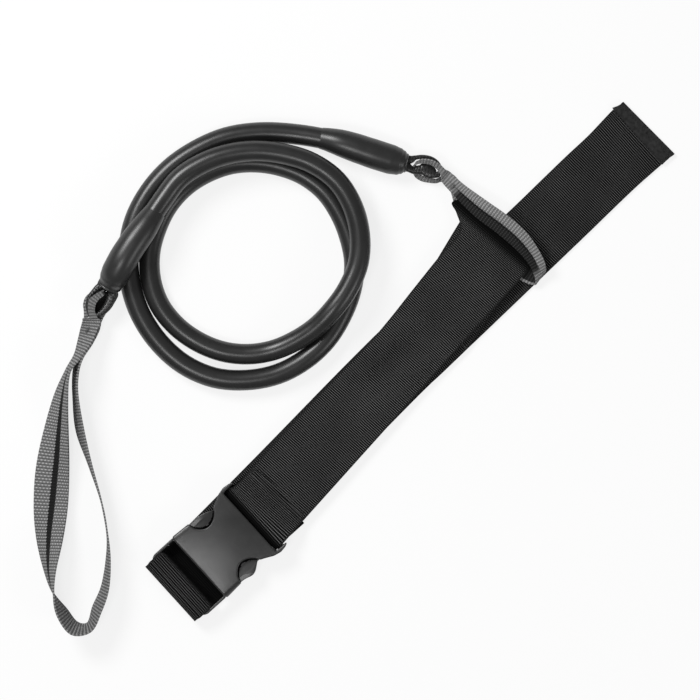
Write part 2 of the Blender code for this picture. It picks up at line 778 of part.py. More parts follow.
def build_socket():
    """The female half: a box open at its front, with thumb windows, ears and a webbing bar."""
    ear_inner = BELT_HALF + EAR_ROOM
    half = [
        (0.0, SOCKET_FRONT_HALF - CORNER),
        (CORNER, SOCKET_FRONT_HALF),
        (WINDOW_START, SOCKET_FRONT_HALF - CORNER),
        (WINDOW_END, WAIST_HALF),
        (SOCKET_LENGTH - EAR_LENGTH, WAIST_HALF + SIDE_WALL),
        (SOCKET_LENGTH - EAR_LENGTH / 3, EAR_HALF - SIDE_WALL),
        (SOCKET_LENGTH + EAR_LENGTH / 4, EAR_HALF),
        (SOCKET_LENGTH + EAR_LENGTH * 3 / 4, EAR_HALF - SIDE_WALL / 2),
        (SOCKET_LENGTH + EAR_LENGTH, ear_inner + SIDE_WALL),
        (SOCKET_LENGTH + EAR_LENGTH, ear_inner + GAP),
        (SOCKET_LENGTH, ear_inner),
    ]
    mesh = flat_mesh([mirrored(half)], SOCKET_THICKNESS, SOCKET_BASE)
    socket = place("buckle_socket", mesh, ACETAL_BLACK, BUCKLE)
    hollow_half = SOCKET_FRONT_HALF - SIDE_WALL
    hollow = [
        (-OVERRUN, hollow_half),
        (WINDOW_END + GAP, hollow_half),
        (WINDOW_END + GAP, WAIST_HALF - SOCKET_WALL),
        (SOCKET_LENGTH - SOCKET_WALL * 2, TONGUE_HALF * 2),
    ]
    inside = flat_mesh([mirrored(hollow)], SOCKET_THICKNESS - 2 * SOCKET_WALL, SOCKET_BASE + SOCKET_WALL)
    cut(socket, place("socket_hollow", inside, None, BUCKLE, cutter=True))
    window = window_outline()
    tall = SOCKET_THICKNESS + 2 * OVERRUN
    for name, sign in (("left", 1), ("right", -1)):
        outline = [(u, sign * v) for u, v in window]
        if sign < 0:
            outline.reverse()
        cutter = flat_mesh([outline], tall, SOCKET_BASE - OVERRUN)
        cut(socket, place("window_" + name, cutter, None, BUCKLE, cutter=True))
    bar = bmesh.new()
    bmesh.ops.create_cone(
        bar, cap_ends=True, segments=16, radius1=BAR_RADIUS, radius2=BAR_RADIUS,
        depth=2 * (ear_inner + SIDE_WALL),
    )
    bmesh.ops.rotate(bar, verts=bar.verts, matrix=Matrix.Rotation(math.radians(90.0), 3, "X"))
    bmesh.ops.translate(bar, verts=bar.verts, vec=(BAR_U, 0.0, BUCKLE_MIDDLE))
    bar_mesh = bpy.data.meshes.new("bar")
    bar.to_mesh(bar_mesh)
    bar.free()
    cut(socket, place("socket_bar", bar_mesh, None, BUCKLE, cutter=True), "UNION")
    return smooth(socket, 30.0)


def build_plug_half():
    """The male half: an open frame with the adjusting bar, and a guide tongue between the latch arms."""
    inner = FRAME_HALF - FRAME_RAIL
    corner = FRAME_RAIL * 2
    root_half = SOCKET_FRONT_HALF - SIDE_WALL - GAP
    half = [
        (-FRAME_LENGTH, FRAME_HALF - corner),
        (-FRAME_LENGTH + corner * 0.3, FRAME_HALF - corner * 0.3),
        (-FRAME_LENGTH + corner, FRAME_HALF),
        (-GAP, FRAME_HALF),
        (-GAP, root_half),
        (GAP, root_half),
        (ROOT_LENGTH, root_half - ARM_THICKNESS - GAP),
        (ROOT_LENGTH, TONGUE_HALF + SOCKET_WALL),
        (ROOT_LENGTH + SOCKET_WALL, TONGUE_HALF),
        (ROOT_LENGTH + TONGUE_LENGTH - SOCKET_WALL, TONGUE_HALF),
        (ROOT_LENGTH + TONGUE_LENGTH, TONGUE_HALF - SOCKET_WALL),
    ]
    slot = mirrored([(SLOT_START, inner), (-GAP * 2, inner)])
    mesh = flat_mesh([mirrored(half), slot], PLATE, PLATE_BASE)
    frame = place("buckle_plug", mesh, ACETAL_BLACK, BUCKLE)
    for name, base in (("above", PLATE_TOP - BELT_THICKNESS), ("below", PLATE_BASE - OVERRUN)):
        tall = BELT_THICKNESS + OVERRUN
        relief = mirrored([(-FRAME_LENGTH - OVERRUN, inner), (SLOT_START + GAP, inner)])
        cut(frame, place("bar_" + name, flat_mesh([relief], tall, base), None, BUCKLE, cutter=True))
    return smooth(frame, 30.0)


def arm_outline():
    """A latch arm at +v, seen from above: a slim root, a bowed thumb pad and a rounded tip."""
    outer = SOCKET_FRONT_HALF - SIDE_WALL - GAP
    start = ROOT_LENGTH + GAP
    length = WINDOW_END - GAP - start
    steps = 12
    top, bottom = [], []
    for i in range(steps + 1):
        share = i / steps
        u = start + length * share
        close = max(share - 0.55, 0.0) / 0.45
        v = outer - (outer - WAIST_HALF + SOCKET_WALL) * close ** 1.8
        pad = math.sin(math.pi * min(max((share - 0.3) / 0.7, 0.0), 1.0)) ** 0.8
        top.append((u, v))
        bottom.append((u, v - ARM_THICKNESS * (0.9 - 0.35 * close) - ARM_THICKNESS * 1.2 * pad))
    return top, bottom


def build_arms():
    top, bottom = arm_outline()
    pivot_v = SOCKET_FRONT_HALF - SIDE_WALL - GAP - ARM_THICKNESS / 2
    for name, sign in (("left", 1), ("right", -1)):
        pivot = (ROOT_LENGTH + GAP, sign * pivot_v)
        outline = [(u - pivot[0], sign * v - pivot[1]) for u, v in top + bottom[::-1]]
        if sign < 0:
            outline.reverse()
        mesh = flat_mesh([outline], PLATE - 2 * GAP, PLATE_BASE + GAP)
        arm = place("latch_arm_" + name, mesh, ACETAL_BLACK, BUCKLE)
        arm.location = (pivot[0], pivot[1], 0.0)
        smooth(arm, 30.0)


def build_wrap():
    """The belt's turn round the adjusting bar: up through the slot, over the bar, down and under."""
    half = BELT_THICKNESS / 2
    bar_top = PLATE_TOP - BELT_THICKNESS + GAP + half
    low = TAIL_BASE + half
    mid = RETURN_BASE + half
    nose = -FRAME_LENGTH - WRAP_REACH
    lead = SLOT_START + BELT_THICKNESS + GAP * 3
    line = [
        (lead + BELT_THICKNESS * 3, mid),
        (lead + BELT_THICKNESS * 1.4, mid),
        (lead + half, mid + BELT_THICKNESS),
        (lead, bar_top - BELT_THICKNESS),
        (lead - BELT_THICKNESS, bar_top),
        (-FRAME_LENGTH - GAP, bar_top),
        (nose + BELT_THICKNESS, bar_top - BELT_THICKNESS * 2.2),
        (nose, (bar_top + low) / 2 - half),
        (nose + BELT_THICKNESS * 0.6, low + BELT_THICKNESS * 0.7),
        (nose + BELT_THICKNESS * 2, low),
        (lead + BELT_THICKNESS * 3, low),
    ]
    wrap = place("belt_wrap", side_mesh(line, BELT_THICKNESS, BELT_HALF), BELT_BLACK, BUCKLE)
    smooth(wrap, 40.0)
    return lead + BELT_THICKNESS * 3


def in_buckle(u, v):
    """A place in the buckle's frame, in the plan."""
    along = heading(BUCKLE_ANGLE)
    return SOCKET_AT + along * u + left_of(along) * v


def strap_outline(middle, half):
    """A strap's outline in the plan, mitred at its bends."""
    left, right = [], []
    for i, point in enumerate(middle):
        before = (point - middle[i - 1]).normalized() if i else None
        after = (middle[i + 1] - point).normalized() if i + 1 < len(middle) else None
        along = ((before or after) + (after or before)).normalized()
        reach = 1.0 / max(along.dot(after or before), 0.5)
        left.append(point + left_of(along) * half * reach)
        right.append(point - left_of(along) * half * reach)
    return [(p.x, p.y) for p in left + right[::-1]]


def build_tail(wrap_end):
    """The free end, below the other layers, with its hem turned up."""
    start = in_buckle(wrap_end + GAP, 0.0)
    middle = [start, start + heading(BUCKLE_ANGLE) * BELT_THICKNESS, px(*TAIL_BEND_PX), px(*TAIL_END_PX)]
    mesh = flat_mesh([strap_outline(middle, BELT_HALF)], BELT_THICKNESS, TAIL_BASE)
    tail = place("belt_tail", mesh, BELT_BLACK)
    along = (middle[-1] - middle[-2]).normalized()
    hem_start = middle[-1] - along * HEM_LENGTH
    hem = flat_mesh(
        [strap_outline([hem_start, middle[-1]], BELT_HALF)], BELT_THICKNESS + GAP, TAIL_BASE + BELT_THICKNESS - GAP
    )
    cut(tail, place("hem", hem, None, cutter=True), "UNION")
    top = TAIL_BASE + 2 * BELT_THICKNESS + GAP
    ring = stitch_ring(middle[-1] - along * HEM_LENGTH, middle[-1], along, HEM_LENGTH)
    place("tail_stitching", flat_mesh(ring, THREAD, top), THREAD_BLACK)
    return tail


def stitch_ring(first, last, along, length):
    """A sewn box: its outer and inner outlines."""
    middle = (first + last) / 2
    out = []
    for inset in (0.0, THREAD * 1.4):
        half_length = length / 2 - THREAD * 2 - inset
        half_width = BELT_HALF - STITCH_INSET - inset
        corners = []
        for a, b in ((-1, -1), (1, -1), (1, 1), (-1, 1)):
            corner = middle + along * (a * half_length) + left_of(along) * (b * half_width)
            corners.append((corner.x, corner.y))
        out.append(corners if inset == 0.0 else corners[::-1])
    return out


def build_waist(wrap_end):
    """The waist webbing: round the socket's bar, along the top, over at the fold, and back below."""
    half = BELT_THICKNESS / 2
    bar_at = in_buckle(BAR_U, 0.0)
    fold_at = px(*WAIST_FOLD_PX)
    along = (fold_at - bar_at).normalized()
    length = (fold_at - bar_at).length
    degrees = math.degrees(math.atan2(along.y, along.x))
    turn = BAR_RADIUS + 2 * GAP + half
    high, low = BUCKLE_MIDDLE + turn, WAIST_BASE + half
    fold_turn = (WAIST_BASE - RETURN_BASE) / 2
    slope = SEWN_LENGTH * 0.7
    level = 2 * BAR_RADIUS
    top = [(0.0, high), (level, high)]
    for share in (0.25, 0.5, 0.75, 1.0):
        ease = share * share * (3 - 2 * share)
        top.append((level + slope * share, high + (low - high) * ease))
    for degrees_round in (90, 60, 30, 0, -30, -60, -90):
        angle = math.radians(degrees_round)
        top.append((
            length + fold_turn * math.cos(angle),
            low - fold_turn + fold_turn * math.sin(angle),
        ))
    top.append((length - BELT_WIDTH / 2, RETURN_BASE + half))
    waist_frame = frame_at("waist_frame", bar_at, degrees)
    waist = place("belt_waist", side_mesh(top, BELT_THICKNESS, BELT_HALF), BELT_BLACK, waist_frame)
    # The sewn end goes round the bar and back below the waist webbing.
    end = []
    for degrees_round in (80, 100, 120, 140, 160, 180, 200, 220, 240, 262):
        angle = math.radians(degrees_round)
        end.append((BAR_U + turn * math.cos(angle), BUCKLE_MIDDLE + turn * math.sin(angle)))
    end.append((BAR_U + SEWN_LENGTH * 0.3, SEWN_BASE + half))
    end.append((BAR_U + SEWN_LENGTH, SEWN_BASE + half))
    sewn = place("sewn_end", side_mesh(end, BELT_THICKNESS, BELT_HALF), None, BUCKLE, cutter=True)
    cut(waist, sewn, "UNION")
    # The return layer lies below, from the fold to the buckle's slot.
    start = in_buckle(wrap_end + GAP, 0.0)
    back_to = fold_at - heading(TAIL_ANGLE) * fold_turn
    middle = [start, start + heading(BUCKLE_ANGLE) * BELT_THICKNESS, px(*TAIL_BEND_PX), back_to]
    back = flat_mesh([strap_outline(middle, BELT_HALF)], BELT_THICKNESS, RETURN_BASE)
    cut(waist, place("return_layer", back, None, cutter=True), "UNION")
    ring_at = bar_at + along * (level + slope + GAP)
    ring = stitch_ring(ring_at, ring_at + along * STITCH_LENGTH, along, STITCH_LENGTH)
    place("belt_stitching", flat_mesh(ring, THREAD, WAIST_TOP + GAP), THREAD_BLACK)
    return smooth(waist, 40.0)


build_tube()
for side in ("left", "right"):
    build_sleeve(side)
build_link(LEFT_LINK)
build_link(RIGHT_LINK)
build_anchor()
build_keeper()
build_socket()
build_plug_half()
build_arms()
WRAP_END = build_wrap()
build_tail(WRAP_END)
build_waist(WRAP_END)
print("left pivot", [round(c, 5) for c in LEFT_LINK.pivot], "right pivot", [round(c, 5) for c in RIGHT_LINK.pivot])
for sign in (1, -1):
    pivot_v = SOCKET_FRONT_HALF - SIDE_WALL - GAP - ARM_THICKNESS / 2
    print("arm pivot", [round(c, 5) for c in in_buckle(ROOT_LENGTH + GAP, sign * pivot_v)])
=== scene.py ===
# %% [markdown]
# # Swim tether
# A swimmer clips the belt on, hooks the grey loop over a post, and swims against the stretch of
# the rubber tube. Each piece below is rebuilt over the solid model of the same tether, piece by
# piece, because cloth, cord and rubber need softer shapes and richer finishes than the solids have.

# %% Load the solid model
import math

import bmesh
import bpy
from mathutils import Matrix, Vector


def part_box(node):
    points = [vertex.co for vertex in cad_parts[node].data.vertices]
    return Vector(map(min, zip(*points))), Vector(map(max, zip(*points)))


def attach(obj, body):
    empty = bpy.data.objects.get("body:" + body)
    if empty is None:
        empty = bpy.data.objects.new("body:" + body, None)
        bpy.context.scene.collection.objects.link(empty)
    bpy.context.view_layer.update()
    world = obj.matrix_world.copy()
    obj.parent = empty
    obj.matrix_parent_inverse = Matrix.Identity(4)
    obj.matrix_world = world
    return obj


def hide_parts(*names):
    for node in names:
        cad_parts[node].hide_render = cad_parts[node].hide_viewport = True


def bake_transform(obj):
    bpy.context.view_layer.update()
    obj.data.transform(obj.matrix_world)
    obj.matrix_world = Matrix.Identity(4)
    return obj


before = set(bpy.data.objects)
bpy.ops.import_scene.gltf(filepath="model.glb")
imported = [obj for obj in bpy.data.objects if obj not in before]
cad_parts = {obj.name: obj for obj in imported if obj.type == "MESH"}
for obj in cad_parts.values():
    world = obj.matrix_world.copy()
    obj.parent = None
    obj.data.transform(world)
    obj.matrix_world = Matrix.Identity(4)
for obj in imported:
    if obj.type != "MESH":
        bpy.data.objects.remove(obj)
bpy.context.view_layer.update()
MM = 0.001

# %% [markdown]
# ## Places
# The picture shows the tether from straight above, 0.68 mm to a pixel, so a place can be given in
# pixels and a height in millimetres. The buckle lies at a slant, so it gets a frame of its own:
# `u` runs from its mouth towards the waist strap, `v` across.

# %% Places in the picture and in the buckle
PIXEL = 0.68
PICTURE_SIDE = 700
ORIGIN_PIXEL = (353.65, 368.95)
BUCKLE_MOUTH = (199.4, 567.5)
BUCKLE_ANGLE = 42.2


def at(x, y, z=0.0):
    """A pixel of the picture and a height in mm, as a point in metres."""
    return Vector(((x - ORIGIN_PIXEL[0]) * PIXEL, (ORIGIN_PIXEL[1] - y) * PIXEL, z)) * MM


BUCKLE_TURN = Matrix.Rotation(math.radians(BUCKLE_ANGLE), 4, "Z")
BUCKLE_FRAME = Matrix.Translation(at(*BUCKLE_MOUTH)) @ BUCKLE_TURN


def in_buckle(u, v, z=0.0):
    """A place in the buckle's own frame, in mm, as a point in metres."""
    return BUCKLE_FRAME @ (Vector((u, v, z)) * MM)


print("buckle mouth at", [round(c, 4) for c in in_buckle(0, 0)])

# %% [markdown]
# ## Camera
# The picture shows hardly any perspective. A long lens from four metres up does the same. Its
# focal length is the sensor's width times the distance, over the width that the picture spans.

# %% Camera
SENSOR_WIDTH = 36
CAMERA_DISTANCE = 4.0
SHARP_HEIGHT = 10
camera_data = bpy.data.cameras.new("camera")
camera_data.lens = SENSOR_WIDTH * CAMERA_DISTANCE / (PICTURE_SIDE * PIXEL * MM)
camera_data.clip_end = 60
camera = bpy.data.objects.new("camera", camera_data)
bpy.context.scene.collection.objects.link(camera)
camera.location = at(PICTURE_SIDE / 2, PICTURE_SIDE / 2, CAMERA_DISTANCE / MM + SHARP_HEIGHT)
bpy.context.scene.camera = camera
print("lens", round(camera_data.lens, 1), "mm")

# %% [markdown]
# ## Finishes
# Every finish is built from the shader nodes by one small set of helpers. Rubber and moulded
# plastic use patterns in the object's own space. Woven goods use a UV map in millimetres, across
# the webbing and along it, so that the ribs follow each bend of the strap.

# %% Helpers that wire shader nodes


class Finish:
    """A material and short ways to add nodes to it."""

    def __init__(self, name, roughness):
        self.material = bpy.data.materials.new(name)
        self.material.use_nodes = True
        self.tree = self.material.node_tree
        self.shader = self.tree.nodes["Principled BSDF"]
        self.shader.inputs["Roughness"].default_value = roughness

    def node(self, kind, **settings):
        made = self.tree.nodes.new(kind)
        for key, value in settings.items():
            setattr(made, key, value)
        return made

    def feed(self, source, socket):
        if isinstance(source, (int, float)):
            socket.default_value = source
        else:
            self.tree.links.new(source, socket)

    def sum(self, operation, *values):
        made = self.node("ShaderNodeMath", operation=operation)
        for value, socket in zip(values, made.inputs):
            self.feed(value, socket)
        return made.outputs[0]

    def grain(self, scale, detail=3.0):
        place = self.node("ShaderNodeTexCoord").outputs["Object"]
        made = self.node("ShaderNodeTexNoise")
        made.inputs["Scale"].default_value = scale
        made.inputs["Detail"].default_value = detail
        self.feed(place, made.inputs["Vector"])
        return made.outputs[0]

    def across_and_along(self):
        place = self.node("ShaderNodeUVMap", uv_map="weave")
        split = self.node("ShaderNodeSeparateXYZ")
        self.feed(place.outputs[0], split.inputs[0])
        return split.outputs[0], split.outputs[1]

    def wave(self, value, pitch, shift=0.0):
        turned = self.sum("MULTIPLY_ADD", value, 2 * math.pi / pitch, shift)
        return self.sum("MULTIPLY_ADD", self.sum("SINE", turned), 0.5, 0.5)

    def step(self, value, low, high):
        """Eases from 0 to 1 while the value goes from low to high."""
        made = self.node("ShaderNodeMapRange", interpolation_type="SMOOTHSTEP")
        self.feed(value, made.inputs[0])
        made.inputs[1].default_value = low
        made.inputs[2].default_value = high
        return made.outputs[0]

    def between(self, value, first, last, soft):
        """1 between first and last, 0 outside, with soft ends."""
        begun = self.step(value, first - soft, first + soft)
        going = self.step(value, last + soft, last - soft)
        return self.sum("MULTIPLY", begun, going)

    def shades(self, factor, *colours):
        """Greys along a ramp from factor 0 to 1."""
        made = self.node("ShaderNodeValToRGB")
        ramp = made.color_ramp
        for i, shade in enumerate(colours):
            place = i / (len(colours) - 1)
            if i == 0:
                stop = ramp.elements[0]
            elif place == 1:
                stop = ramp.elements[-1]
            else:
                stop = ramp.elements.new(place)
            stop.position = place
            stop.color = (shade, shade, shade, 1)
        self.feed(factor, made.inputs[0])
        return made.outputs[0]

    def mix(self, factor, first, second, **settings):
        made = self.node("ShaderNodeMix", data_type="RGBA", **settings)
        self.feed(factor, made.inputs[0])
        self.feed(first, made.inputs[6])
        self.feed(second, made.inputs[7])
        return made.outputs[2]

    def colour(self, source):
        self.feed(source, self.shader.inputs["Base Color"])

    def rough(self, factor, low, high):
        mixed = self.sum("MULTIPLY_ADD", factor, high - low, low)
        self.feed(mixed, self.shader.inputs["Roughness"])

    def shine(self, level):
        self.shader.inputs["Specular IOR Level"].default_value = level

    def bump(self, height, depth, strength=1.0):
        made = self.node("ShaderNodeBump")
        made.inputs["Strength"].default_value = strength
        made.inputs["Distance"].default_value = depth
        self.feed(height, made.inputs["Height"])
        self.feed(made.outputs[0], self.shader.inputs["Normal"])


# %% [markdown]
# Latex tube and moulded sleeves are black and satin, with a faint bloom that comes and goes along
# them. The sleeve is a little rougher than the tube. The buckle is acetal: an even black with the
# fine spark-eroded grain of its mould. Noise at three scales gives the bloom, the patches of
# shine and the grain, because one image texture would need seams and would blur close up.
# `gap_shade` is a nearly black one that paints the shade on faces that lie deep in a gap.

# %% Rubber and plastic
BLOOM_SCALE = 55.0
SHINE_SCALE = 140.0
RUBBER_GRAIN = 1800.0
RUBBER_DEPTH = 0.000015


def rubber(name, dark, light, low, high, shine=None):
    """Black between two shades, with a roughness between low and high."""
    made = Finish(name, low)
    bloom = made.grain(BLOOM_SCALE)
    made.colour(made.shades(bloom, dark, (dark + light) / 2, light))
    made.rough(made.grain(SHINE_SCALE), low, high)
    made.bump(made.grain(RUBBER_GRAIN), RUBBER_DEPTH)
    if shine is not None:
        made.shine(shine)
    return made.material


TUBE = rubber("tube_rubber", 0.009, 0.019, 0.26, 0.40)
SLEEVE = rubber("sleeve_rubber", 0.009, 0.020, 0.30, 0.42)
PLUG = rubber("plug_plastic", 0.010, 0.016, 0.45, 0.60)


def moulded(name):
    """Plastic out of a spark-eroded mould."""
    made = Finish(name, 0.42)
    made.colour(made.shades(made.grain(90.0), 0.010, 0.030))
    made.rough(made.grain(60.0), 0.28, 0.38)
    made.bump(made.grain(3200.0, 5.0), 0.00004)
    return made.material


ACETAL = moulded("acetal")
# gap_shade is a painted shade: near black, for faces deep in a gap.
SHADE = rubber("gap_shade", 0.0005, 0.001, 0.85, 0.95, shine=0.05)
print("rubber and plastic", [made.name for made in (TUBE, SLEEVE, PLUG, ACETAL, SHADE)])

# %% [markdown]
# Belt webbing is woven with a rib every 1.45 mm. Between two ribs the warp shows as tiny
# stitches, each row shifted by half a stitch, and both edges end in a tight selvedge.
# Where the strap lies in shade, round the bar, in the keeper's hollow and inside the buckle, that
# shade is painted: the weave takes near-black shades there. Each of those stretches is given by its
# first and last millimetre along the strap, and by how softly it ends. The weave could be modelled
# thread by thread, but sine waves on the UV map cost no faces and follow every bend.

# %% Black belt webbing
BELT_WIDTH = 50.0
BELT_THICKNESS = 1.4
BELT_RIB = 1.45
BELT_WARP = 1.1
SELVEDGE_THREAD = 0.9
WEAR_SCALE = 26.0
# Stretches of painted shade along the strap, in mm: first, last and how softly each ends.
WAIST_PAINTED_SHADE = [(-9, 36.0, 1.5), (287, 302, 5)]
RETURN_PAINTED_SHADE = [(231, 260, 2)]
TURN_PAINTED_SHADE = [(-9, 8.5, 2.5)]


def woven(made, rib_pitch, warp_pitch, width, dash=0.45):
    """Height of the weave from 0 to 1, the distance from the middle, and both places in mm."""
    across, along = made.across_and_along()
    rib = made.wave(along, rib_pitch)
    row = made.sum("FLOOR", made.sum("DIVIDE", along, rib_pitch))
    warp = made.wave(made.sum("MULTIPLY_ADD", row, warp_pitch / 2, across), warp_pitch)
    stitch = made.sum("MULTIPLY", rib, warp)
    weave = made.sum("MULTIPLY_ADD", stitch, dash, made.sum("MULTIPLY", rib, 1 - dash))
    middle = made.sum("ABSOLUTE", made.sum("SUBTRACT", across, width / 2))
    return weave, middle, across, along


def black_webbing(name, shades, painted_shade=()):
    """Belt webbing in three shades from the gaps to the ribs' tops, with painted shade on some stretches.
    """
    made = Finish(name, 0.85)
    weave, middle, _, along = woven(made, BELT_RIB, BELT_WARP, BELT_WIDTH)
    edge = made.step(middle, BELT_WIDTH / 2 - 1.6, BELT_WIDTH / 2 - 0.6)
    base = made.shades(weave, *shades)
    worn = made.shades(made.grain(WEAR_SCALE), 0.45, 1.0, 1.6)
    cloth = made.mix(0.8, base, worn, blend_type="MULTIPLY")
    selvedge = made.shades(made.wave(along, SELVEDGE_THREAD), 0.006, 0.03)
    cloth = made.mix(edge, cloth, selvedge)
    # Painted shade: each listed stretch takes near-black shades of the weave.
    for first, last, soft in painted_shade:
        in_painted_shade = made.between(along, first, last, soft)
        cloth = made.mix(in_painted_shade, cloth, made.shades(weave, 0.0005, 0.004))
    made.colour(cloth)
    made.bump(weave, 0.0005)
    made.shine(0.08)
    return made.material


def felt(name, dark, light):
    """Cloth pressed so hard under its seam that the ribs are lost."""
    made = Finish(name, 0.85)
    nap = made.grain(420.0, 4.0)
    made.colour(made.shades(nap, dark, (dark + light) / 2, light))
    made.bump(nap, 0.0006)
    made.shine(0.1)
    return made.material


BELT = black_webbing("belt_webbing", (0.0002, 0.005, 0.215), WAIST_PAINTED_SHADE)
TAIL = black_webbing("tail_webbing", (0.0002, 0.005, 0.17))
BACK = black_webbing("return_webbing", (0.0002, 0.005, 0.17), RETURN_PAINTED_SHADE)
HEM = felt("hem_cloth", 0.0005, 0.045)
TURN = black_webbing("turn_webbing", (0.0002, 0.004, 0.15), TURN_PAINTED_SHADE)
print("belt finishes", [made.name for made in (BELT, TAIL, BACK, HEM, TURN)])

# %% [markdown]
# The anchor loop and the keeper are cut from grey 25 mm webbing with a black stripe woven into
# it. The stripe's sides step in and out by a thread or two, as its yarns cross the weft. On each
# loop the stripe shows along one stretch only, because the eye and the seam hide the rest. Where a
# fold or a hollow throws part of the width into shade, that shade is painted into the colour. All of
# these places are in mm across and along.

# %% Grey webbing
GREY_WIDTH = 25.0
GREY_THICKNESS = 1.2
GREY_RIB = 2.1
GREY_WARP = 2.3
FUZZ_SCALE = 900.0


def grey_webbing(name, shades, stripe, shown, painted_shade_sides, inner=None):
    """Webbing with a stripe across (low, high), shown along (first, last).

    The (start, end, side) stretches get a painted shade below that side of the width.
    inner gives the shades of a painted shade above the stripe, where the webbing faces a hollow.
    """
    made = Finish(name, 0.8)
    weave, _, across, along = woven(made, GREY_RIB, GREY_WARP, GREY_WIDTH, 0.7)
    ragged = made.sum("MULTIPLY_ADD", made.wave(along, GREY_RIB, 0.8), 0.5, across)
    reach = made.between(along, *shown, 3)
    black = made.sum("MULTIPLY", made.between(ragged, *stripe, 0.15), reach)
    fuzz = made.shades(made.grain(FUZZ_SCALE, 4.0), 0.5, 1.0, 1.5)
    grey = made.mix(0.8, made.shades(weave, *shades), fuzz, blend_type="MULTIPLY")
    # Painted shade: masks for the parts of the width that lie in shade.
    shaded = []
    if inner:
        past_stripe = made.step(across, stripe[1] - 0.2, stripe[1] + 0.4)
        shaded.append(made.sum("MULTIPLY", past_stripe, reach))
    for start, end, side in painted_shade_sides:
        below = made.step(across, side + 0.5, side - 0.5)
        shaded.append(made.sum("MULTIPLY", below, made.between(along, start, end, 1)))
    for share in shaded:
        grey = made.mix(share, grey, made.shades(weave, *(inner or (0.001, 0.006))))
    made.colour(made.mix(black, grey, made.shades(weave, 0.003, 0.012)))
    made.bump(weave, 0.0004)
    made.shine(0.2)
    return made.material


# The loop gets painted shade at its eye; the band on its inner half and along one stretch.
LOOP = grey_webbing(
    "loop_webbing", (0.07, 0.21, 0.42), stripe=(10.2, 14.6), shown=(90, 244), painted_shade_sides=[(4, 29, 17.5)]
)
BAND = grey_webbing(
    "band_webbing", (0.11, 0.26, 0.44), stripe=(12.3, 13.5), shown=(70, 150), painted_shade_sides=[(156, 190, 21)],
    inner=(0.004, 0.018, 0.05),
)
print("grey finishes", LOOP.name, BAND.name)

# %% [markdown]
# The cords are braided and shine a little. Two waves that wind opposite ways round the cord cross
# in diamonds, and the higher of the two at each point is the yarn on top. Thread is too thin to
# show its twist, so the rubber helper's noise is enough for it.

# %% Cord and thread
def twisted(name, shades, pitch, turns):
    """Yarns that wind both ways round a cord: the UV map is in mm round it and along it."""
    made = Finish(name, 0.34)
    around, along = made.across_and_along()
    one = made.wave(made.sum("MULTIPLY_ADD", around, turns, along), pitch)
    two = made.wave(made.sum("MULTIPLY_ADD", around, -turns, along), pitch)
    braid = made.sum("MAXIMUM", one, two)
    made.colour(made.shades(braid, *shades))
    made.bump(braid, 0.00012, 0.8)
    return made.material


CORD = twisted("cord", (0.001, 0.003, 0.010), 2.2, 1.0)
THREAD_BLACK = rubber("thread_black", 0.005, 0.012, 0.6, 0.75)
THREAD_GREY = rubber("thread_grey", 0.05, 0.12, 0.6, 0.75)
print("finishes", len(bpy.data.materials))

# %% [markdown]
# ## The rubber tube
# The tube is one length of latex, a little over a metre, laid down in two and a quarter turns: the
# lower turn lies on the surface, and the upper one rests on it. A circle could be swept by hand,
# but a curve with a round bevel gives the same even hose and keeps its route easy to change. The
# route follows the solid model's, with small moves where the picture shows the turns pressed
# together.

# %% A smooth line through points


def through(rows, per_span, closed=False):
    """Rows of points, each a list of vectors, joined by one smooth curve."""
    count = len(rows)
    spans = count if closed else count - 1
    out = []
    for i in range(spans):
        if closed:
            near = [rows[(i + k) % count] for k in (-1, 0, 1, 2)]
        else:
            near = [rows[min(max(i + k, 0), count - 1)] for k in (-1, 0, 1, 2)]
        for s in range(per_span):
            t = s / per_span
            out.append([
                (
                    2 * b + (c - a) * t
                    + (2 * a - 5 * b + 4 * c - d) * t**2
                    + (3 * b - a - 3 * c + d) * t**3
                ) / 2
                for a, b, c, d in zip(*near)
            ])
    return out if closed else out + [list(rows[-1])]


def in_metres(points):
    return [Vector(p) * MM for p in points]


def dress(obj, finish, body):
    """Adds a piece to the scene, shaded smooth, and lets it ride on its body, if it has one."""
    bpy.context.scene.collection.objects.link(obj)
    obj.data.materials.append(finish)
    if obj.type == "MESH":
        obj.data.polygons.foreach_set("use_smooth", [True] * len(obj.data.polygons))
    if body:
        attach(obj, body)
    return obj


# %% [markdown]
# The coil is worked out by a loop round its middle, a pixel of the picture. At every 15 degrees,
# clockwise from the left, a station gives the distance from the middle in pixels and the height
# of the tube's own middle in mm. The first stations lie inside the left sleeve, high up on the
# coil, and the last one inside the right sleeve. These numbers were not typed by hand: a scratch
# script read them off the solid model's route at even angles, after small moves.

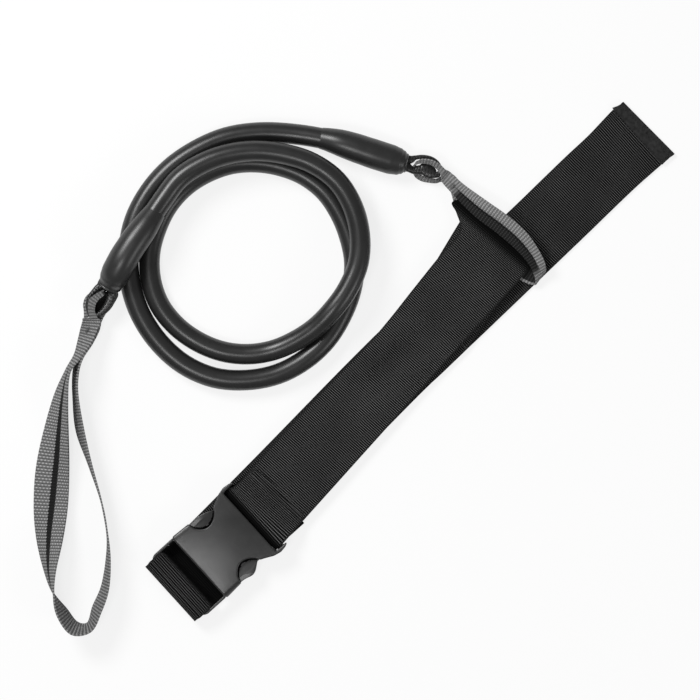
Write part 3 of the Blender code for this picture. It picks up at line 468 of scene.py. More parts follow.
# %% The tube
TUBE_RADIUS = 7.1
COIL_MIDDLE = (252.0, 258.0)
COIL_START = 2.7
COIL_STEP = 15
COIL_STATIONS = [
    (123.6, 24.9), (110.0, 24.0), (105.8, 22.0), (106.9, 21.6), (106.1, 21.5), (105.9, 21.4),
    (106.6, 21.3), (108.5, 21.3), (112.1, 21.3), (114.4, 21.3), (113.0, 21.3), (110.2, 21.3),
    (106.5, 21.3), (100.7, 21.3), (96.1, 20.1), (94.2, 15.7), (93.5, 11.3), (94.7, 7.8),
    (96.3, 7.1), (98.0, 7.1), (99.6, 7.1), (101.8, 7.1), (103.7, 7.1), (103.6, 7.1),
    (102.3, 7.1), (100.2, 7.1), (99.3, 7.1), (98.1, 7.1), (96.8, 7.1), (96.4, 7.1),
    (96.0, 7.1), (96.5, 7.1), (98.0, 7.1), (98.9, 7.1), (98.7, 7.1), (99.7, 7.1),
    (102.5, 7.1), (104.2, 7.1), (106.4, 7.1), (110.5, 7.1), (114.6, 7.1), (118.9, 7.1),
    (122.2, 7.1), (125.5, 7.1), (126.4, 7.1), (125.7, 7.1), (125.1, 7.1), (124.4, 7.1),
    (123.8, 7.1), (123.5, 7.1), (122.2, 7.1), (121.5, 7.1), (121.4, 7.1), (123.4, 7.1),
    (125.7, 7.1), (130.5, 7.6), (140.5, 9.6), (157.2, 10.9),
]
stations = []
for i, (radius, height) in enumerate(COIL_STATIONS):
    turn = math.radians(COIL_START + COIL_STEP * i)
    x = COIL_MIDDLE[0] - radius * math.cos(turn)
    y = COIL_MIDDLE[1] - radius * math.sin(turn)
    stations.append([at(x, y, height)])
tube_line = [row[0] for row in through(stations, 5)]
tube_curve = bpy.data.curves.new("coiled_tube", "CURVE")
tube_curve.dimensions = "3D"
spline = tube_curve.splines.new("POLY")
spline.points.add(len(tube_line) - 1)
for point, place in zip(spline.points, tube_line):
    point.co = (*place, 1.0)
tube_curve.bevel_depth = TUBE_RADIUS * MM
tube_curve.bevel_resolution = 9
tube_curve.use_fill_caps = True
tube = dress(bpy.data.objects.new("coiled_tube", tube_curve), TUBE, "tether")
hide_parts("elastic_tube")
tube_length = sum((b - a).length for a, b in zip(tube_line, tube_line[1:]))
print("tube length", round(tube_length, 4))

# %% [markdown]
# ## Sleeves and cords
# A sleeve is a moulded boot. It grips the tube with a thin neck, swells over the plug inside, and
# narrows to an open mouth with a rolled lip. A black cord comes out of the mouth, goes round
# through the webbing's eye and back in. Both are tubes that follow a line. A curve's bevel could
# draw them, but it can't be flattened on one side or opened at the end, so one helper bends a
# flat grid into a hose and welds its seam. Only the radii and the finish differ.

# %% A hose of changing thickness
WELD = 0.000001


def hose(name, line, radii, finish, body, sides=24, wall=None, flat=None):
    """A tube round a line of points, with one radius in mm for each point.

    wall opens its ends and gives its thickness in mm, and flat widens it to the sides, by a factor
    for each point.
    """
    steps = len(line) - 1
    ahead = line[1:] + line[-1:]
    behind = line[:1] + line[:-1]
    along = [(b - a).normalized() for a, b in zip(behind, ahead)]
    side = along[0].cross(Vector((0, 0, 1))).normalized()
    frames, lengths = [], [0.0]
    for i in range(steps + 1):
        side = (side - along[i] * side.dot(along[i])).normalized()
        frames.append((side, along[i].cross(side)))
        lengths.append(lengths[-1] + (ahead[i] - line[i]).length / MM)
    shape = bmesh.new()
    weave = shape.loops.layers.uv.new("weave")
    bmesh.ops.create_grid(shape, x_segments=sides, y_segments=steps, size=0.5)
    round_it = 2 * math.pi * radii[0]
    for face in shape.faces:
        for loop in face.loops:
            share, i = loop.vert.co.x + 0.5, round((loop.vert.co.y + 0.5) * steps)
            loop[weave].uv = (share * round_it, lengths[i])
    for vert in shape.verts:
        turn, i = 2 * math.pi * (vert.co.x + 0.5), round((vert.co.y + 0.5) * steps)
        out = frames[i][0] * math.cos(turn) * (flat[i] if flat else 1) + frames[i][1] * math.sin(turn)
        vert.co = line[i] + out * radii[i] * MM
    bmesh.ops.remove_doubles(shape, verts=shape.verts, dist=WELD)
    if not wall:
        rims = [edge for edge in shape.edges if edge.is_boundary]
        bmesh.ops.holes_fill(shape, edges=rims)
    bmesh.ops.recalc_face_normals(shape, faces=shape.faces)
    mesh = bpy.data.meshes.new(name)
    shape.to_mesh(mesh)
    shape.free()
    made = dress(bpy.data.objects.new(name, mesh), finish, body)
    if wall:
        shell = made.modifiers.new("wall", "SOLIDIFY")
        shell.thickness = wall * MM
        shell.offset = -1.0
        lips = made.modifiers.new("lips", "BEVEL")
        lips.width = 0.35 * MM
        lips.segments = 3
        lips.limit_method = "ANGLE"
        lips.angle_limit = math.radians(50)
    return made


def blend_knots(knots, count):
    """Values along a line from (share of its length, value) knots, eased between them."""
    out = []
    for i in range(count):
        share = i / (count - 1)
        for (s0, r0), (s1, r1) in zip(knots, knots[1:]):
            if s0 <= share <= s1:
                t = (share - s0) / (s1 - s0)
                out.append(r0 + (r1 - r0) * t * t * (3 - 2 * t))
                break
    return out


# %% [markdown]
# Each sleeve's line runs from the mouth to the neck, in mm. Its knots give the radius at shares of
# that line: the lip, the nip behind it, the bulge over the plug, and one long taper to the neck.
# The last knot lies past the end, so that the taper is still falling where the neck stops. The
# points are those of the solid model's route, as a scratch script printed them, and the knots were
# chosen by hand. The plug inside keeps its solid shape and only takes a finish.

# %% Sleeves
SLEEVE_WALL = 1.1
SLEEVE_LEFT = [
    (-165.3, 57.4, 16.0), (-163.9, 60.1, 17.9), (-162.5, 62.8, 20.0), (-160.6, 66.4, 22.3),
    (-157.3, 72.3, 24.2), (-153.3, 79.2, 24.9), (-148.4, 86.7, 25.0), (-142.0, 95.6, 24.2),
    (-137.6, 102.2, 23.1), (-134.3, 107.1, 22.3),
]
SLEEVE_RIGHT = [
    (35.9, 140.0, 9.4), (32.4, 140.7, 9.6), (28.8, 141.5, 9.8), (24.3, 142.8, 10.1),
    (17.6, 144.9, 10.5), (10.0, 147.4, 10.8), (1.5, 150.3, 10.9), (-8.9, 153.7, 10.7),
    (-16.6, 155.8, 9.7), (-22.4, 157.0, 8.8),
]
SLEEVE_KNOTS = {
    "left": [
        (0, 8.4), (0.03, 7.6), (0.1, 8.7), (0.2, 9.5), (0.34, 10.1), (0.48, 10.2),
        (0.64, 9.9), (1.1, 7.0),
    ],
    "right": [
        (0, 6.7), (0.02, 6.4), (0.08, 8.1), (0.17, 9.3), (0.33, 10.1), (0.5, 10.2),
        (0.62, 10.0), (1.08, 7.0),
    ],
}
for side, points in (("left", SLEEVE_LEFT), ("right", SLEEVE_RIGHT)):
    line = [row[0] for row in through([[p] for p in in_metres(points)], 6)]
    radii = blend_knots(SLEEVE_KNOTS[side], len(line))
    sleeve = hose("boot_" + side, line, radii, SLEEVE, "tether", 40, wall=SLEEVE_WALL)
    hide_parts("sleeve_" + side)
    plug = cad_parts["plug_" + side]
    plug.data.materials.clear()
    plug.data.materials.append(PLUG)
    print("sleeve", side, round((line[0] - line[-1]).length, 4))

# %% [markdown]
# The cords' lines start and end inside their sleeves, where the plug holds them. Where a cord is
# pressed flat or bunched it spreads to the sides, so each has knots for its width too, as shares
# of its length and factors on its thickness. The points outside the sleeves were chosen by hand in
# the picture's pixels, and a scratch script turned them into mm.

# %% Cord loops
CORD_RADIUS = 1.9
CORD_LEFT = [
    (-154.8, 71.9, 24.7), (-157.9, 66.7, 24.5), (-163.0, 55.6, 16.0), (-164.0, 51.2, 13.0),
    (-165.3, 46.5, 13.0), (-168.1, 41.6, 13.0), (-171.7, 37.9, 13.0), (-175.5, 36.3, 13.0),
    (-178.9, 37.1, 13.0), (-180.5, 40.5, 13.0), (-180.7, 45.1, 13.0), (-179.0, 49.9, 13.0),
    (-175.1, 54.0, 13.0), (-171.4, 56.7, 13.2), (-167.3, 58.9, 16.0), (-162.2, 69.3, 24.5),
    (-159.1, 74.5, 24.7),
]
CORD_RIGHT = [
    (17.5, 147.5, 10.6), (23.1, 145.6, 10.5), (36.7, 142.4, 9.4), (42.1, 143.7, 9.0),
    (46.9, 144.2, 9.0), (52.2, 143.3, 9.0), (56.3, 140.8, 9.0), (58.4, 137.6, 9.0),
    (58.6, 134.3, 9.0), (56.5, 132.2, 9.0), (52.9, 133.5, 9.0), (48.8, 135.6, 9.0),
    (44.7, 135.4, 9.0), (40.2, 135.0, 9.0), (35.2, 137.7, 9.4), (21.5, 140.9, 10.5),
    (15.9, 142.8, 10.6),
]
CORD_FLAT = {
    "left": [
        (0, 1.0), (0.12, 1.6), (0.19, 2.3), (0.27, 1.7), (0.38, 1.2), (0.48, 0.8), (0.7, 0.8),
        (0.78, 1.3), (0.84, 2.6), (0.92, 2.6), (1, 1.2),
    ],
    "right": [
        (0, 1.0), (0.12, 1.6), (0.2, 0.8), (0.5, 0.75), (0.56, 1.2), (0.63, 2.3), (0.69, 2.7),
        (0.75, 1.7), (0.82, 1.2), (0.88, 1.8), (1, 1.0),
    ],
}
for side, points in (("left", CORD_LEFT), ("right", CORD_RIGHT)):
    line = [row[0] for row in through([[p] for p in in_metres(points)], 8)]
    flat = blend_knots(CORD_FLAT[side], len(line))
    radii = [CORD_RADIUS] * len(line)
    cord = hose("cord_" + side, line, radii, CORD, "tether", 16, flat=flat)
    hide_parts("cord_loop_" + side)
    print("cord", side, len(line), "points")

# %% [markdown]
# ## Webbing
# A strap is a grid of faces bent over rows of edge points. Each row says where the left and the
# right edge of the webbing are, so it can turn over, stand on edge or fold. Cloth simulation could
# drop it into place too, but rows can follow the picture, and they come out the same each time.
# The grid keeps a UV map in millimetres, Solidify gives it its thickness, and Bevel rounds the
# woven edges.

# %% A strap over rows of edges
EDGE_ROUND = 0.28


def strap(
    name, rows, thickness, width, finish, body,
    per_span=6, segments=14, closed=False, bow=None, skew=None,
):
    """Webbing through rows of (left edge, right edge), with its thickness and width in mm.

    bow(share across, share along) raises it in mm, and skew(row) crowds its threads to one edge.
    """
    rows = through(rows, per_span, closed)
    if closed:
        rows.append(rows[0])
    steps = len(rows) - 1
    middles = [(left + right) / 2 for left, right in rows]
    lengths = [0.0]
    for a, b in zip(middles, middles[1:]):
        lengths.append(lengths[-1] + (b - a).length / MM)
    shape = bmesh.new()
    weave = shape.loops.layers.uv.new("weave")
    bmesh.ops.create_grid(shape, x_segments=segments, y_segments=steps, size=0.5)
    for face in shape.faces:
        for loop in face.loops:
            i = round((loop.vert.co.y + 0.5) * steps)
            loop[weave].uv = ((loop.vert.co.x + 0.5) * width, lengths[i])
    for vert in shape.verts:
        share, i = vert.co.x + 0.5, round((vert.co.y + 0.5) * steps)
        left, right = rows[i]
        crowded = skew(i / per_span) * share * (1 - share) if skew else 0
        place = left.lerp(right, share + crowded)
        if bow:
            along = middles[min(i + 1, steps)] - middles[max(i - 1, 0)]
            place += (right - left).cross(along).normalized() * bow(share, i / steps) * MM
        vert.co = place
    if closed:
        bmesh.ops.remove_doubles(shape, verts=shape.verts, dist=WELD)
    mesh = bpy.data.meshes.new(name)
    shape.to_mesh(mesh)
    shape.free()
    made = dress(bpy.data.objects.new(name, mesh), finish, body)
    body_of = made.modifiers.new("thickness", "SOLIDIFY")
    body_of.thickness = thickness * MM
    body_of.offset = 0.0
    edges = made.modifiers.new("edges", "BEVEL")
    edges.width = EDGE_ROUND * thickness * MM
    edges.segments = 2
    edges.limit_method = "ANGLE"
    edges.angle_limit = math.radians(60)
    print(name, "length", round(lengths[-1]), "mm")
    return made


def edge_rows(rows):
    """Rows typed in mm, as rows of vectors in metres."""
    return [(Vector(left) * MM, Vector(right) * MM) for left, right in rows]


# %% [markdown]
# The anchor loop starts with a small eye round the left cord. From there it drops into a seam, and
# its two arms part into a long drop shape that stands on edge at its narrow end. Its rows run once
# round, in mm: each gives one edge and then the other. The eye, the seam and the bottom turn were
# placed in the picture's pixels. The arms are the solid model's own rows, some of them moved. A
# scratch script printed both kinds in mm.

# %% Anchor loop
ANCHOR_ROWS = [
    ((-170.4, 34.4, 10.1), (-183.4, 34.2, 10.1)), ((-167.9, 39.3, 10.1), (-183.5, 38.7, 8.6)),
    ((-169.4, 43.8, 10.1), (-183.9, 44.8, 8.6)), ((-168.1, 48.4, 10.1), (-181.5, 50.0, 8.8)),
    ((-167.9, 49.6, 10.1), (-176.0, 53.1, 9.2)), ((-167.6, 50.7, 10.1), (-171.7, 53.6, 9.4)),
    ((-168.4, 51.1, 11), (-170.3, 53.6, 11)), ((-168.0, 51.4, 13), (-169.9, 53.8, 13)),
    ((-168.4, 51.0, 15.3), (-170.4, 53.4, 15.3)), ((-170.4, 49.2, 16.0), (-172.9, 52.3, 16.0)),
    ((-173.2, 46.9, 16.0), (-176.7, 49.9, 16.0)), ((-175.1, 43.8, 16.0), (-179.8, 46.8, 16.0)),
    ((-175.7, 39.4, 16.0), (-180.5, 39.7, 16.0)), ((-174.2, 35.6, 15.8), (-179.7, 35.3, 15.8)),
    ((-172.8, 33.7, 15.2), (-183.9, 34.2, 14.6)), ((-171.8, 32.2, 14.8), (-184.2, 32.9, 13.4)),
    ((-174.2, 25.8, 15.3), (-185.5, 28.1, 9.6)), ((-178.3, 16.6, 17.6), (-187.4, 20.0, 4.6)),
    ((-185.2, 7.3, 25.4), (-190.3, 9.6, 1.1)), ((-192.6, -3.3, 24.6), (-196.6, -1.8, 0.7)),
    ((-194.0, -25.2, 22.4), (-205.4, -22.5, 0.3)), ((-193.5, -63.6, 12.3), (-215.4, -61.5, 0.5)),
    ((-194.4, -91.7, 9.1), (-217.9, -90.6, 0.6)), ((-197.5, -115.0, 17.2), (-216.1, -114.9, 0.4)),
    ((-202.2, -137.1, 23.7), (-210.7, -137.7, 0.2)), ((-203.3, -152.1, 25.0), (-204.9, -152.6, 0.0)),
    ((-200.9, -166.9, 24.4), (-195.8, -163.6, 0.1)), ((-191.5, -179.7, 23.4), (-188.6, -172.6, 0.2)),
    ((-178.2, -177.9, 23.4), (-181.2, -173.0, 0.2)), ((-171.3, -164.7, 24.2), (-177.6, -161.8, 0.2)),
    ((-166.3, -149.5, 24.5), (-171.8, -148.4, 0.1)), ((-165.1, -130.7, 24.8), (-168.6, -130.5, 0.1)),
    ((-166.7, -112.8, 25.0), (-168.0, -113.0, 0.0)), ((-170.8, -90.3, 25.0), (-172.0, -90.6, 0.0)),
    ((-177.8, -64.2, 24.9), (-180.7, -65.1, 0.1)), ((-183.1, -40.9, 24.4), (-189.0, -42.1, 0.1)),
    ((-186.9, -18.4, 24.7), (-191.2, -18.4, 0.1)), ((-186.8, -4.5, 24.9), (-191.2, -3.4, 0.5)),
    ((-183.9, 6.7, 25.1), (-189.0, 9.0, 0.7)), ((-177.5, 17.2, 16.4), (-186.5, 20.2, 3.2)),
    ((-173.0, 25.9, 13.6), (-184.9, 29.2, 8.0)), ((-171.3, 32.3, 12.8), (-183.2, 33.2, 11.4)),
]


def drift(row):
    """How far the long arm has rolled over at a row, which moves its stripe to one side."""
    turns = [(17, 0.0), (18, -0.7), (21, -0.4), (22.5, 0.0), (24, 0.4), (26, 0.0)]
    for (r0, k0), (r1, k1) in zip(turns, turns[1:]):
        if r0 <= row <= r1:
            return k0 + (k1 - k0) * (row - r0) / (r1 - r0)
    return 0.0


anchor = strap(
    "post_loop", edge_rows(ANCHOR_ROWS), GREY_THICKNESS, GREY_WIDTH, LOOP, "anchor_loop",
    8, 18, closed=True, skew=drift,
)
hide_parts("anchor_webbing")

# %% [markdown]
# The keeper is a shorter loop of the same webbing. Its upper arm stands over the belt like an
# arch, creased along its stripe: the outer half faces the light, the inner half looks into the
# hollow that the belt runs through, and its shade is painted into the webbing's colour. Its rows
# come from the same two sources as the anchor loop's.

# %% Keeper
KEEPER_ROWS = [
    ((63.1, 133.6, 6.3), (60.6, 127.5, 6.0)), ((56.8, 129.2, 6.3), (56.5, 126.9, 3.2)),
    ((52.7, 129.6, 6.3), (52.1, 127.1, 3.0)), ((47.7, 130.6, 6.3), (46.5, 128.2, 3.0)),
    ((44.7, 132.8, 6.3), (42.3, 130.7, 3.4)), ((43.4, 135.2, 6.3), (40.5, 134.2, 4.2)),
    ((42.7, 137.6, 7.6), (40.2, 136.2, 6.8)), ((42.5, 139.5, 9.4), (40.5, 137.5, 9.2)),
    ((43.2, 141.1, 11.4), (42.0, 138.6, 11.2)), ((46.1, 142.5, 13.8), (45.9, 139.9, 11.8)),
    ((53.0, 141.8, 14.6), (51.9, 139.2, 11.7)), ((58.4, 138.8, 14.2), (56.5, 136.2, 11.6)),
    ((62.5, 135.3, 13.0), (59.4, 131.5, 11.5)), ((65.7, 133.8, 10.5), (60.1, 127.2, 9.0)),
    ((72.5, 127.4, 11.5), (65.4, 121.3, 7.9)), ((80.7, 121.2, 12.2), (73.5, 112.6, 9.8)),
    ((91.3, 113.6, 15.0), (83.2, 103.2, 12.2)), ((104.4, 104.3, 16.3), (96.0, 93.5, 13.3)),
    ((116.8, 93.3, 16.1), (107.6, 83.9, 13.2)), ((125.9, 80.6, 14.2), (116.8, 74.4, 11.4)),
    ((130.5, 70.3, 11.4), (122.1, 65.7, 8.8)), ((128.8, 65.5, 4.4), (123.3, 57.2, 4.4)),
    ((118.8, 71.4, 4.4), (111.5, 61.8, 4.4)), ((106.3, 83.2, 4.4), (98.1, 74.5, 4.4)),
    ((93.6, 94.9, 4.4), (85.0, 86.6, 4.4)), ((80.9, 109.3, 4.4), (71.9, 101.4, 4.4)),
    ((71.5, 127.7, 10.1), (65.8, 121.6, 6.5)), ((65.5, 133.5, 9.0), (60.2, 127.4, 7.5)),
]


def upto(distance, reach):
    """Grows from 0 to 1 while the distance grows from 0 to its reach."""
    return min(max(distance / reach, 0.0), 1.0)


def bell(value, middle, reach):
    """1 at the middle, and falls off smoothly to both sides."""
    return math.exp(-(((value - middle) / reach) ** 2))


def crease(s, t):
    """The arch over the belt: a ridge, the crease at the stripe, and a low inner half."""
    over = upto(t - 0.47, 0.08) * upto(0.71 - t, 0.05)
    ridge = 1.4 * bell(s, 0.27, 0.20)
    dip = 1.8 * bell(s, 0.54, 0.06)
    inner = 0.5 * bell(s, 0.80, 0.13)
    return over * (ridge - dip + inner)


keeper = strap(
    "belt_keeper", edge_rows(KEEPER_ROWS), GREY_THICKNESS, GREY_WIDTH, BAND, "keeper",
    8, 24, closed=True, bow=crease,
)
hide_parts("keeper_webbing")

# %% [markdown]
# ## The belt
# One strap makes the whole belt. It is sewn round the socket's bar, runs up to the keeper, folds
# there and comes back underneath to the buckle. It climbs over the adjusting bar and leaves as a
# long tail that passes below everything. It is built as the waist strap, the return strap, the
# turn at the bar, the tail, its hem, and a sewn band. The turn at the bar moves with the buckle's
# male half. The return strap and the tail ride on no body.

# %% Rows of the belt
TAIL_LEVEL = 0.8
RETURN_LEVEL = 2.6
SEWN_END_LEVEL = 4.4
WAIST_LEVEL = 6.2
BAR_HALF = 25.6
BAR_HALF_WIDE = 26.3
BAR_HALF_NARROW = 25.1
WAIST_START = (304, 520)
WAIST_RUN = (217, -241.5)
WAIST_ACROSS = (0.744, 0.668)


def waist_row(share, width, high_left, high_right=None):
    """A row square to the strap's straight right edge, at a share of its length, width in pixels."""
    x = WAIST_START[0] + WAIST_RUN[0] * share
    y = WAIST_START[1] + WAIST_RUN[1] * share
    left = at(x - WAIST_ACROSS[0] * width, y - WAIST_ACROSS[1] * width, high_left)
    return (left, at(x, y, high_left if high_right is None else high_right))


def bar_row(u, z, half=BAR_HALF):
    """A row square to the buckle, at a place and a height in its own frame."""
    return (in_buckle(u, half, z), in_buckle(u, -half, z))


print("rows at the bar are", 2 * BAR_HALF, "mm wide")

# %% [markdown]
# The waist strap is the layer on top. Its rows run from the sewn end under the socket, round the
# socket's bar, up to the fold at the keeper, and a little way back below itself.

# %% Waist strap
SOCKET_BAR_TURN = [
    (49.4, 4.4), (47.4, 5.2), (46.9, 7.2), (47.1, 9.8), (48.1, 11.8), (49.8, 12.6), (51.5, 12.7),
]
WAIST_ROWS = [bar_row(u, SEWN_END_LEVEL) for u in (73.0, 64.0, 54.0)]
WAIST_ROWS += [bar_row(u, z, BAR_HALF_WIDE) for u, z in SOCKET_BAR_TURN]
WAIST_ROWS += [
    waist_row(-0.066, 74.6, 12.4),
    waist_row(-0.045, 73.5, 10.8),
    waist_row(-0.02, 73.5, 7.6),
    waist_row(0.01, 73.5, WAIST_LEVEL),
    waist_row(0.12, 73.5, WAIST_LEVEL),
    waist_row(0.25, 73.0, WAIST_LEVEL),
    waist_row(0.38, 72.0, 6.4, WAIST_LEVEL),
    waist_row(0.48, 70.5, 7.4, WAIST_LEVEL),
    waist_row(0.56, 69.8, 8.4, WAIST_LEVEL),
    waist_row(0.64, 70.6, 7.6, WAIST_LEVEL),
    waist_row(0.75, 73.0, 6.4, WAIST_LEVEL),
    waist_row(0.88, 75.5, 6.3, WAIST_LEVEL),
    waist_row(0.98, 76.8, 7.2, WAIST_LEVEL),
    (at(457.0, 214.0, 8.4), at(525.0, 274.0, WAIST_LEVEL)),
    (at(451.7, 203.4, 9.0), at(529.0, 269.5, WAIST_LEVEL)),
    (at(458.6, 199.8, 8.2), at(533.5, 265.0, 6.0)),
    (at(470.0, 205.5, 6.0), at(535.5, 262.5, 4.6)),
    (at(470.0, 208.5, 3.4), at(533.5, 264.5, 3.0)),
    (at(464.0, 215.0, RETURN_LEVEL), at(527.0, 270.0, RETURN_LEVEL)),
    (at(438.5, 257.0, RETURN_LEVEL), at(496.0, 310.5, RETURN_LEVEL)),
    (at(415.0, 297.0, RETURN_LEVEL), at(467.0, 349.5, RETURN_LEVEL)),
]


def creases(s, t):
    """A hollow between two ridges runs slanting along the stretch round share 0.6, 1.2 mm high."""
    ridges = math.cos(2 * math.pi * (s - 0.2 - 0.8 * (t - 0.6)) / 0.58)
    return 1.2 * bell(t, 0.6, 0.075) * ridges


waist = strap(
    "waist_strap", WAIST_ROWS, BELT_THICKNESS, BELT_WIDTH, BELT, "belt", 8, 20, bow=creases
)
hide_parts("belt_waist")

# %% [markdown]
# The return strap lies under the waist strap.

# %% Return strap
RETURN_ROWS = [
    (at(415.0, 297.0, RETURN_LEVEL), at(467.0, 349.5, RETURN_LEVEL)),
    (at(390.0, 321.5, RETURN_LEVEL), at(442.0, 373.5, RETURN_LEVEL)),
    (at(362.5, 347.9, RETURN_LEVEL), at(415.1, 399.3, RETURN_LEVEL)),
    (at(262.0, 450.5, RETURN_LEVEL), at(315.0, 501.5, RETURN_LEVEL)),
    bar_row(0.0, RETURN_LEVEL),
    bar_row(-7.2, RETURN_LEVEL),
]
back = strap(
    "return_strap", RETURN_ROWS, BELT_THICKNESS, BELT_WIDTH, BACK, None, 10, 20
)
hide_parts("belt_waist")
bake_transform(back)

# %% [markdown]
# At the adjusting bar the strap climbs out of the slot, crosses the bar, and goes down round its
# far side into the tail. Past the bar it is drawn in a little.

# %% Turn round the adjusting bar
BAR_TURN = [
    (-7.4, RETURN_LEVEL), (-8.3, 2.8), (-9.6, 4.4), (-11.0, 8.0), (-12.3, 11.2), (-14.0, 12.9),
    (-17.0, 13.1), (-19.6, 12.7), (-21.0, 12.1), (-22.4, 12.2), (-24.4, 11.0), (-26.0, 8.4),
    (-26.5, 5.4), (-25.9, 2.3), (-24.0, TAIL_LEVEL), (-16.0, TAIL_LEVEL), (-7.6, TAIL_LEVEL),
]
DRAWN_IN = -23
WRAP_ROWS = [bar_row(u, z, BAR_HALF if u > DRAWN_IN else BAR_HALF_NARROW) for u, z in BAR_TURN]
wrap = strap("bar_turn", WRAP_ROWS, BELT_THICKNESS, BELT_WIDTH, TURN, "male", 6, 20)
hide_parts("belt_wrap")

# %% [markdown]
# The tail is one straight length on the floor. Its far end is turned back on itself and sewn down.
# That hem is thinner than the strap, because the seam presses it.

# %% Tail and its hem
HEM_THICKNESS = 1.3
TAIL_ROWS = [
    bar_row(-7.2, TAIL_LEVEL),
    bar_row(4.0, TAIL_LEVEL),
    (at(262.0, 450.5, TAIL_LEVEL), at(315.0, 501.5, TAIL_LEVEL)),
    (at(362.5, 347.9, TAIL_LEVEL), at(415.1, 399.3, TAIL_LEVEL)),
    (at(435.0, 279.5, TAIL_LEVEL), at(487.0, 330.5, TAIL_LEVEL)),
    (at(506.2, 214.0, TAIL_LEVEL), at(557.0, 263.4, TAIL_LEVEL)),
    (at(541.0, 180.5, TAIL_LEVEL), at(592.0, 229.8, TAIL_LEVEL)),
    (at(566.4, 156.0, TAIL_LEVEL), at(617.0, 205.5, TAIL_LEVEL)),
    (at(588.4, 135.5, TAIL_LEVEL), at(637.0, 186.5, TAIL_LEVEL)),
    (at(603.7, 119.4, 0.9), at(652.0, 173.2, TAIL_LEVEL)),
    (at(613.5, 109.2, 1.0), at(663.5, 163.2, 0.9)),
    (at(618.5, 105.5, 1.0), at(669.5, 158.4, 0.9)),
]
tail = strap("loose_tail", TAIL_ROWS, BELT_THICKNESS, BELT_WIDTH, TAIL, None, 12, 20)
HEM_ROWS = [
    (at(622.0, 102.6, 1.0), at(673.6, 154.8, 0.9)),
    (at(623.2, 101.9, 1.7), at(674.6, 153.9, 1.6)),
    (at(622.4, 102.8, 2.4), at(673.8, 155.0, 2.3)),
    (at(618.5, 105.2, 2.6), at(669.5, 158.0, 2.5)),
    (at(612.6, 107.4, 2.4), at(662.8, 164.4, 2.3)),
]
hem = strap("tail_hem", HEM_ROWS, HEM_THICKNESS, BELT_WIDTH, HEM, "tail", 5, 20)
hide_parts("belt_tail")
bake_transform(tail)
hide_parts("belt_tail")

# %% [markdown]
# Near the buckle the waist strap's end is sewn down under it. The seam shows on top as a low band.

# %% Sewn band over the waist strap's end
BAND_THICKNESS = 0.5
BAND_ROWS = [
    (at(248.2, 474.6, 6.5), at(298.8, 523.4, 6.5)),
    (at(250.0, 472.8, 6.9), at(300.6, 521.6, 6.9)),
    (at(252.6, 470.2, 6.9), at(303.0, 519.0, 6.9)),
    (at(254.6, 468.2, 6.5), at(304.8, 517.0, 6.5)),
]
band = strap("sewn_band", BAND_ROWS, BAND_THICKNESS, BELT_WIDTH, TAIL, "belt", 4, 20)
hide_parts("belt_waist")

# %% [markdown]
# ## Stitches
# A stitch is a short, fat grain of thread, half sunk into the cloth. Hundreds are needed, so each
# is a low sphere of few faces, stretched along its seam. One mesh holds a whole seam.

# %% Rows of stitches


def stitches(name, seams, finish, body, length=2.0, thick=0.34):
    """Rows of stitches along seams of (start, end, pitch in mm), with their length and half thickness."""
    shape = bmesh.new()
    size = Matrix.Diagonal((length / 2 * MM, thick * MM, thick * MM, 1))
    for start, end, pitch in seams:
        run = end - start
        count = max(int(run.length / MM / pitch), 1)
        turn = run.to_track_quat("X", "Z").to_matrix().to_4x4()
        for i in range(count):
            place = Matrix.Translation(start + run * ((i + 0.5) / count)) @ turn @ size
            bmesh.ops.create_uvsphere(shape, u_segments=6, v_segments=5, radius=1.0, matrix=place)
    mesh = bpy.data.meshes.new(name)
    shape.to_mesh(mesh)
    shape.free()
    print(name, len(mesh.polygons), "faces")
    return dress(bpy.data.objects.new(name, mesh), finish, body)


PITCH_ACROSS = 2.3
PITCH_ALONG = 2.0


def ring(rows, rise, inset=0.03):
    """The four seams round a patch between two rows, raised in mm and set in by a share of the width."""
    (a, b), (c, d) = [(left.lerp(right, inset), right.lerp(left, inset)) for left, right in rows]
    up = Vector((0, 0, rise * MM))
    across = [(a + up, b + up, PITCH_ACROSS), (c + up, d + up, PITCH_ACROSS)]
    along = [(a + up, c + up, PITCH_ALONG), (b + up, d + up, PITCH_ALONG)]
    return across + along


HEM_PATCH = [
    (at(612.8, 109.4, 0), at(662.6, 162.8, 0)),
    (at(620.2, 104.0, 0), at(671.0, 156.0, 0)),
]
BAND_PATCH = [
    (at(246.6, 477.0, 0), at(296.6, 526.2, 0)),
    (at(255.6, 466.8, 0), at(305.6, 515.0, 0)),
]
hem_seams = ring(HEM_PATCH, 3.25)
hem_thread = stitches("hem_thread", hem_seams, THREAD_BLACK, "tail")
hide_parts("tail_stitching")
band_seams = ring(BAND_PATCH, 7.0)
belt_thread = stitches("belt_thread", band_seams, THREAD_BLACK, "belt")
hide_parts("belt_stitching")

# %% [markdown]
# Each grey loop is closed by a bar of thread. The solid model has a thin pad there. Nine short,
# slanted seams side by side, laid by a loop, look like such a bar close up.

# %% Bars of thread


def bar_of_thread(name, node, body):
    """Slanted seams side by side over the box of the solid pad that they stand for."""
    low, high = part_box(node)
    middle = (low + high) / 2
    reach = (high - low) / 2
    seams = []
    for i in range(-4, 5):
        shift = Vector((reach.x * i / 5, reach.y * i / 7, 0))
        across = Vector((reach.x * 0.35, -reach.y * 0.55, 0))
        seams.append((middle + shift - across, middle + shift + across, 2.4))
    made = stitches(name, seams, THREAD_GREY, body, 2.6, 0.28)
    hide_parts(node)


bar_of_thread("loop_thread", "anchor_stitching", "anchor_loop")
bar_of_thread("keeper_thread", "keeper_stitching", "keeper")

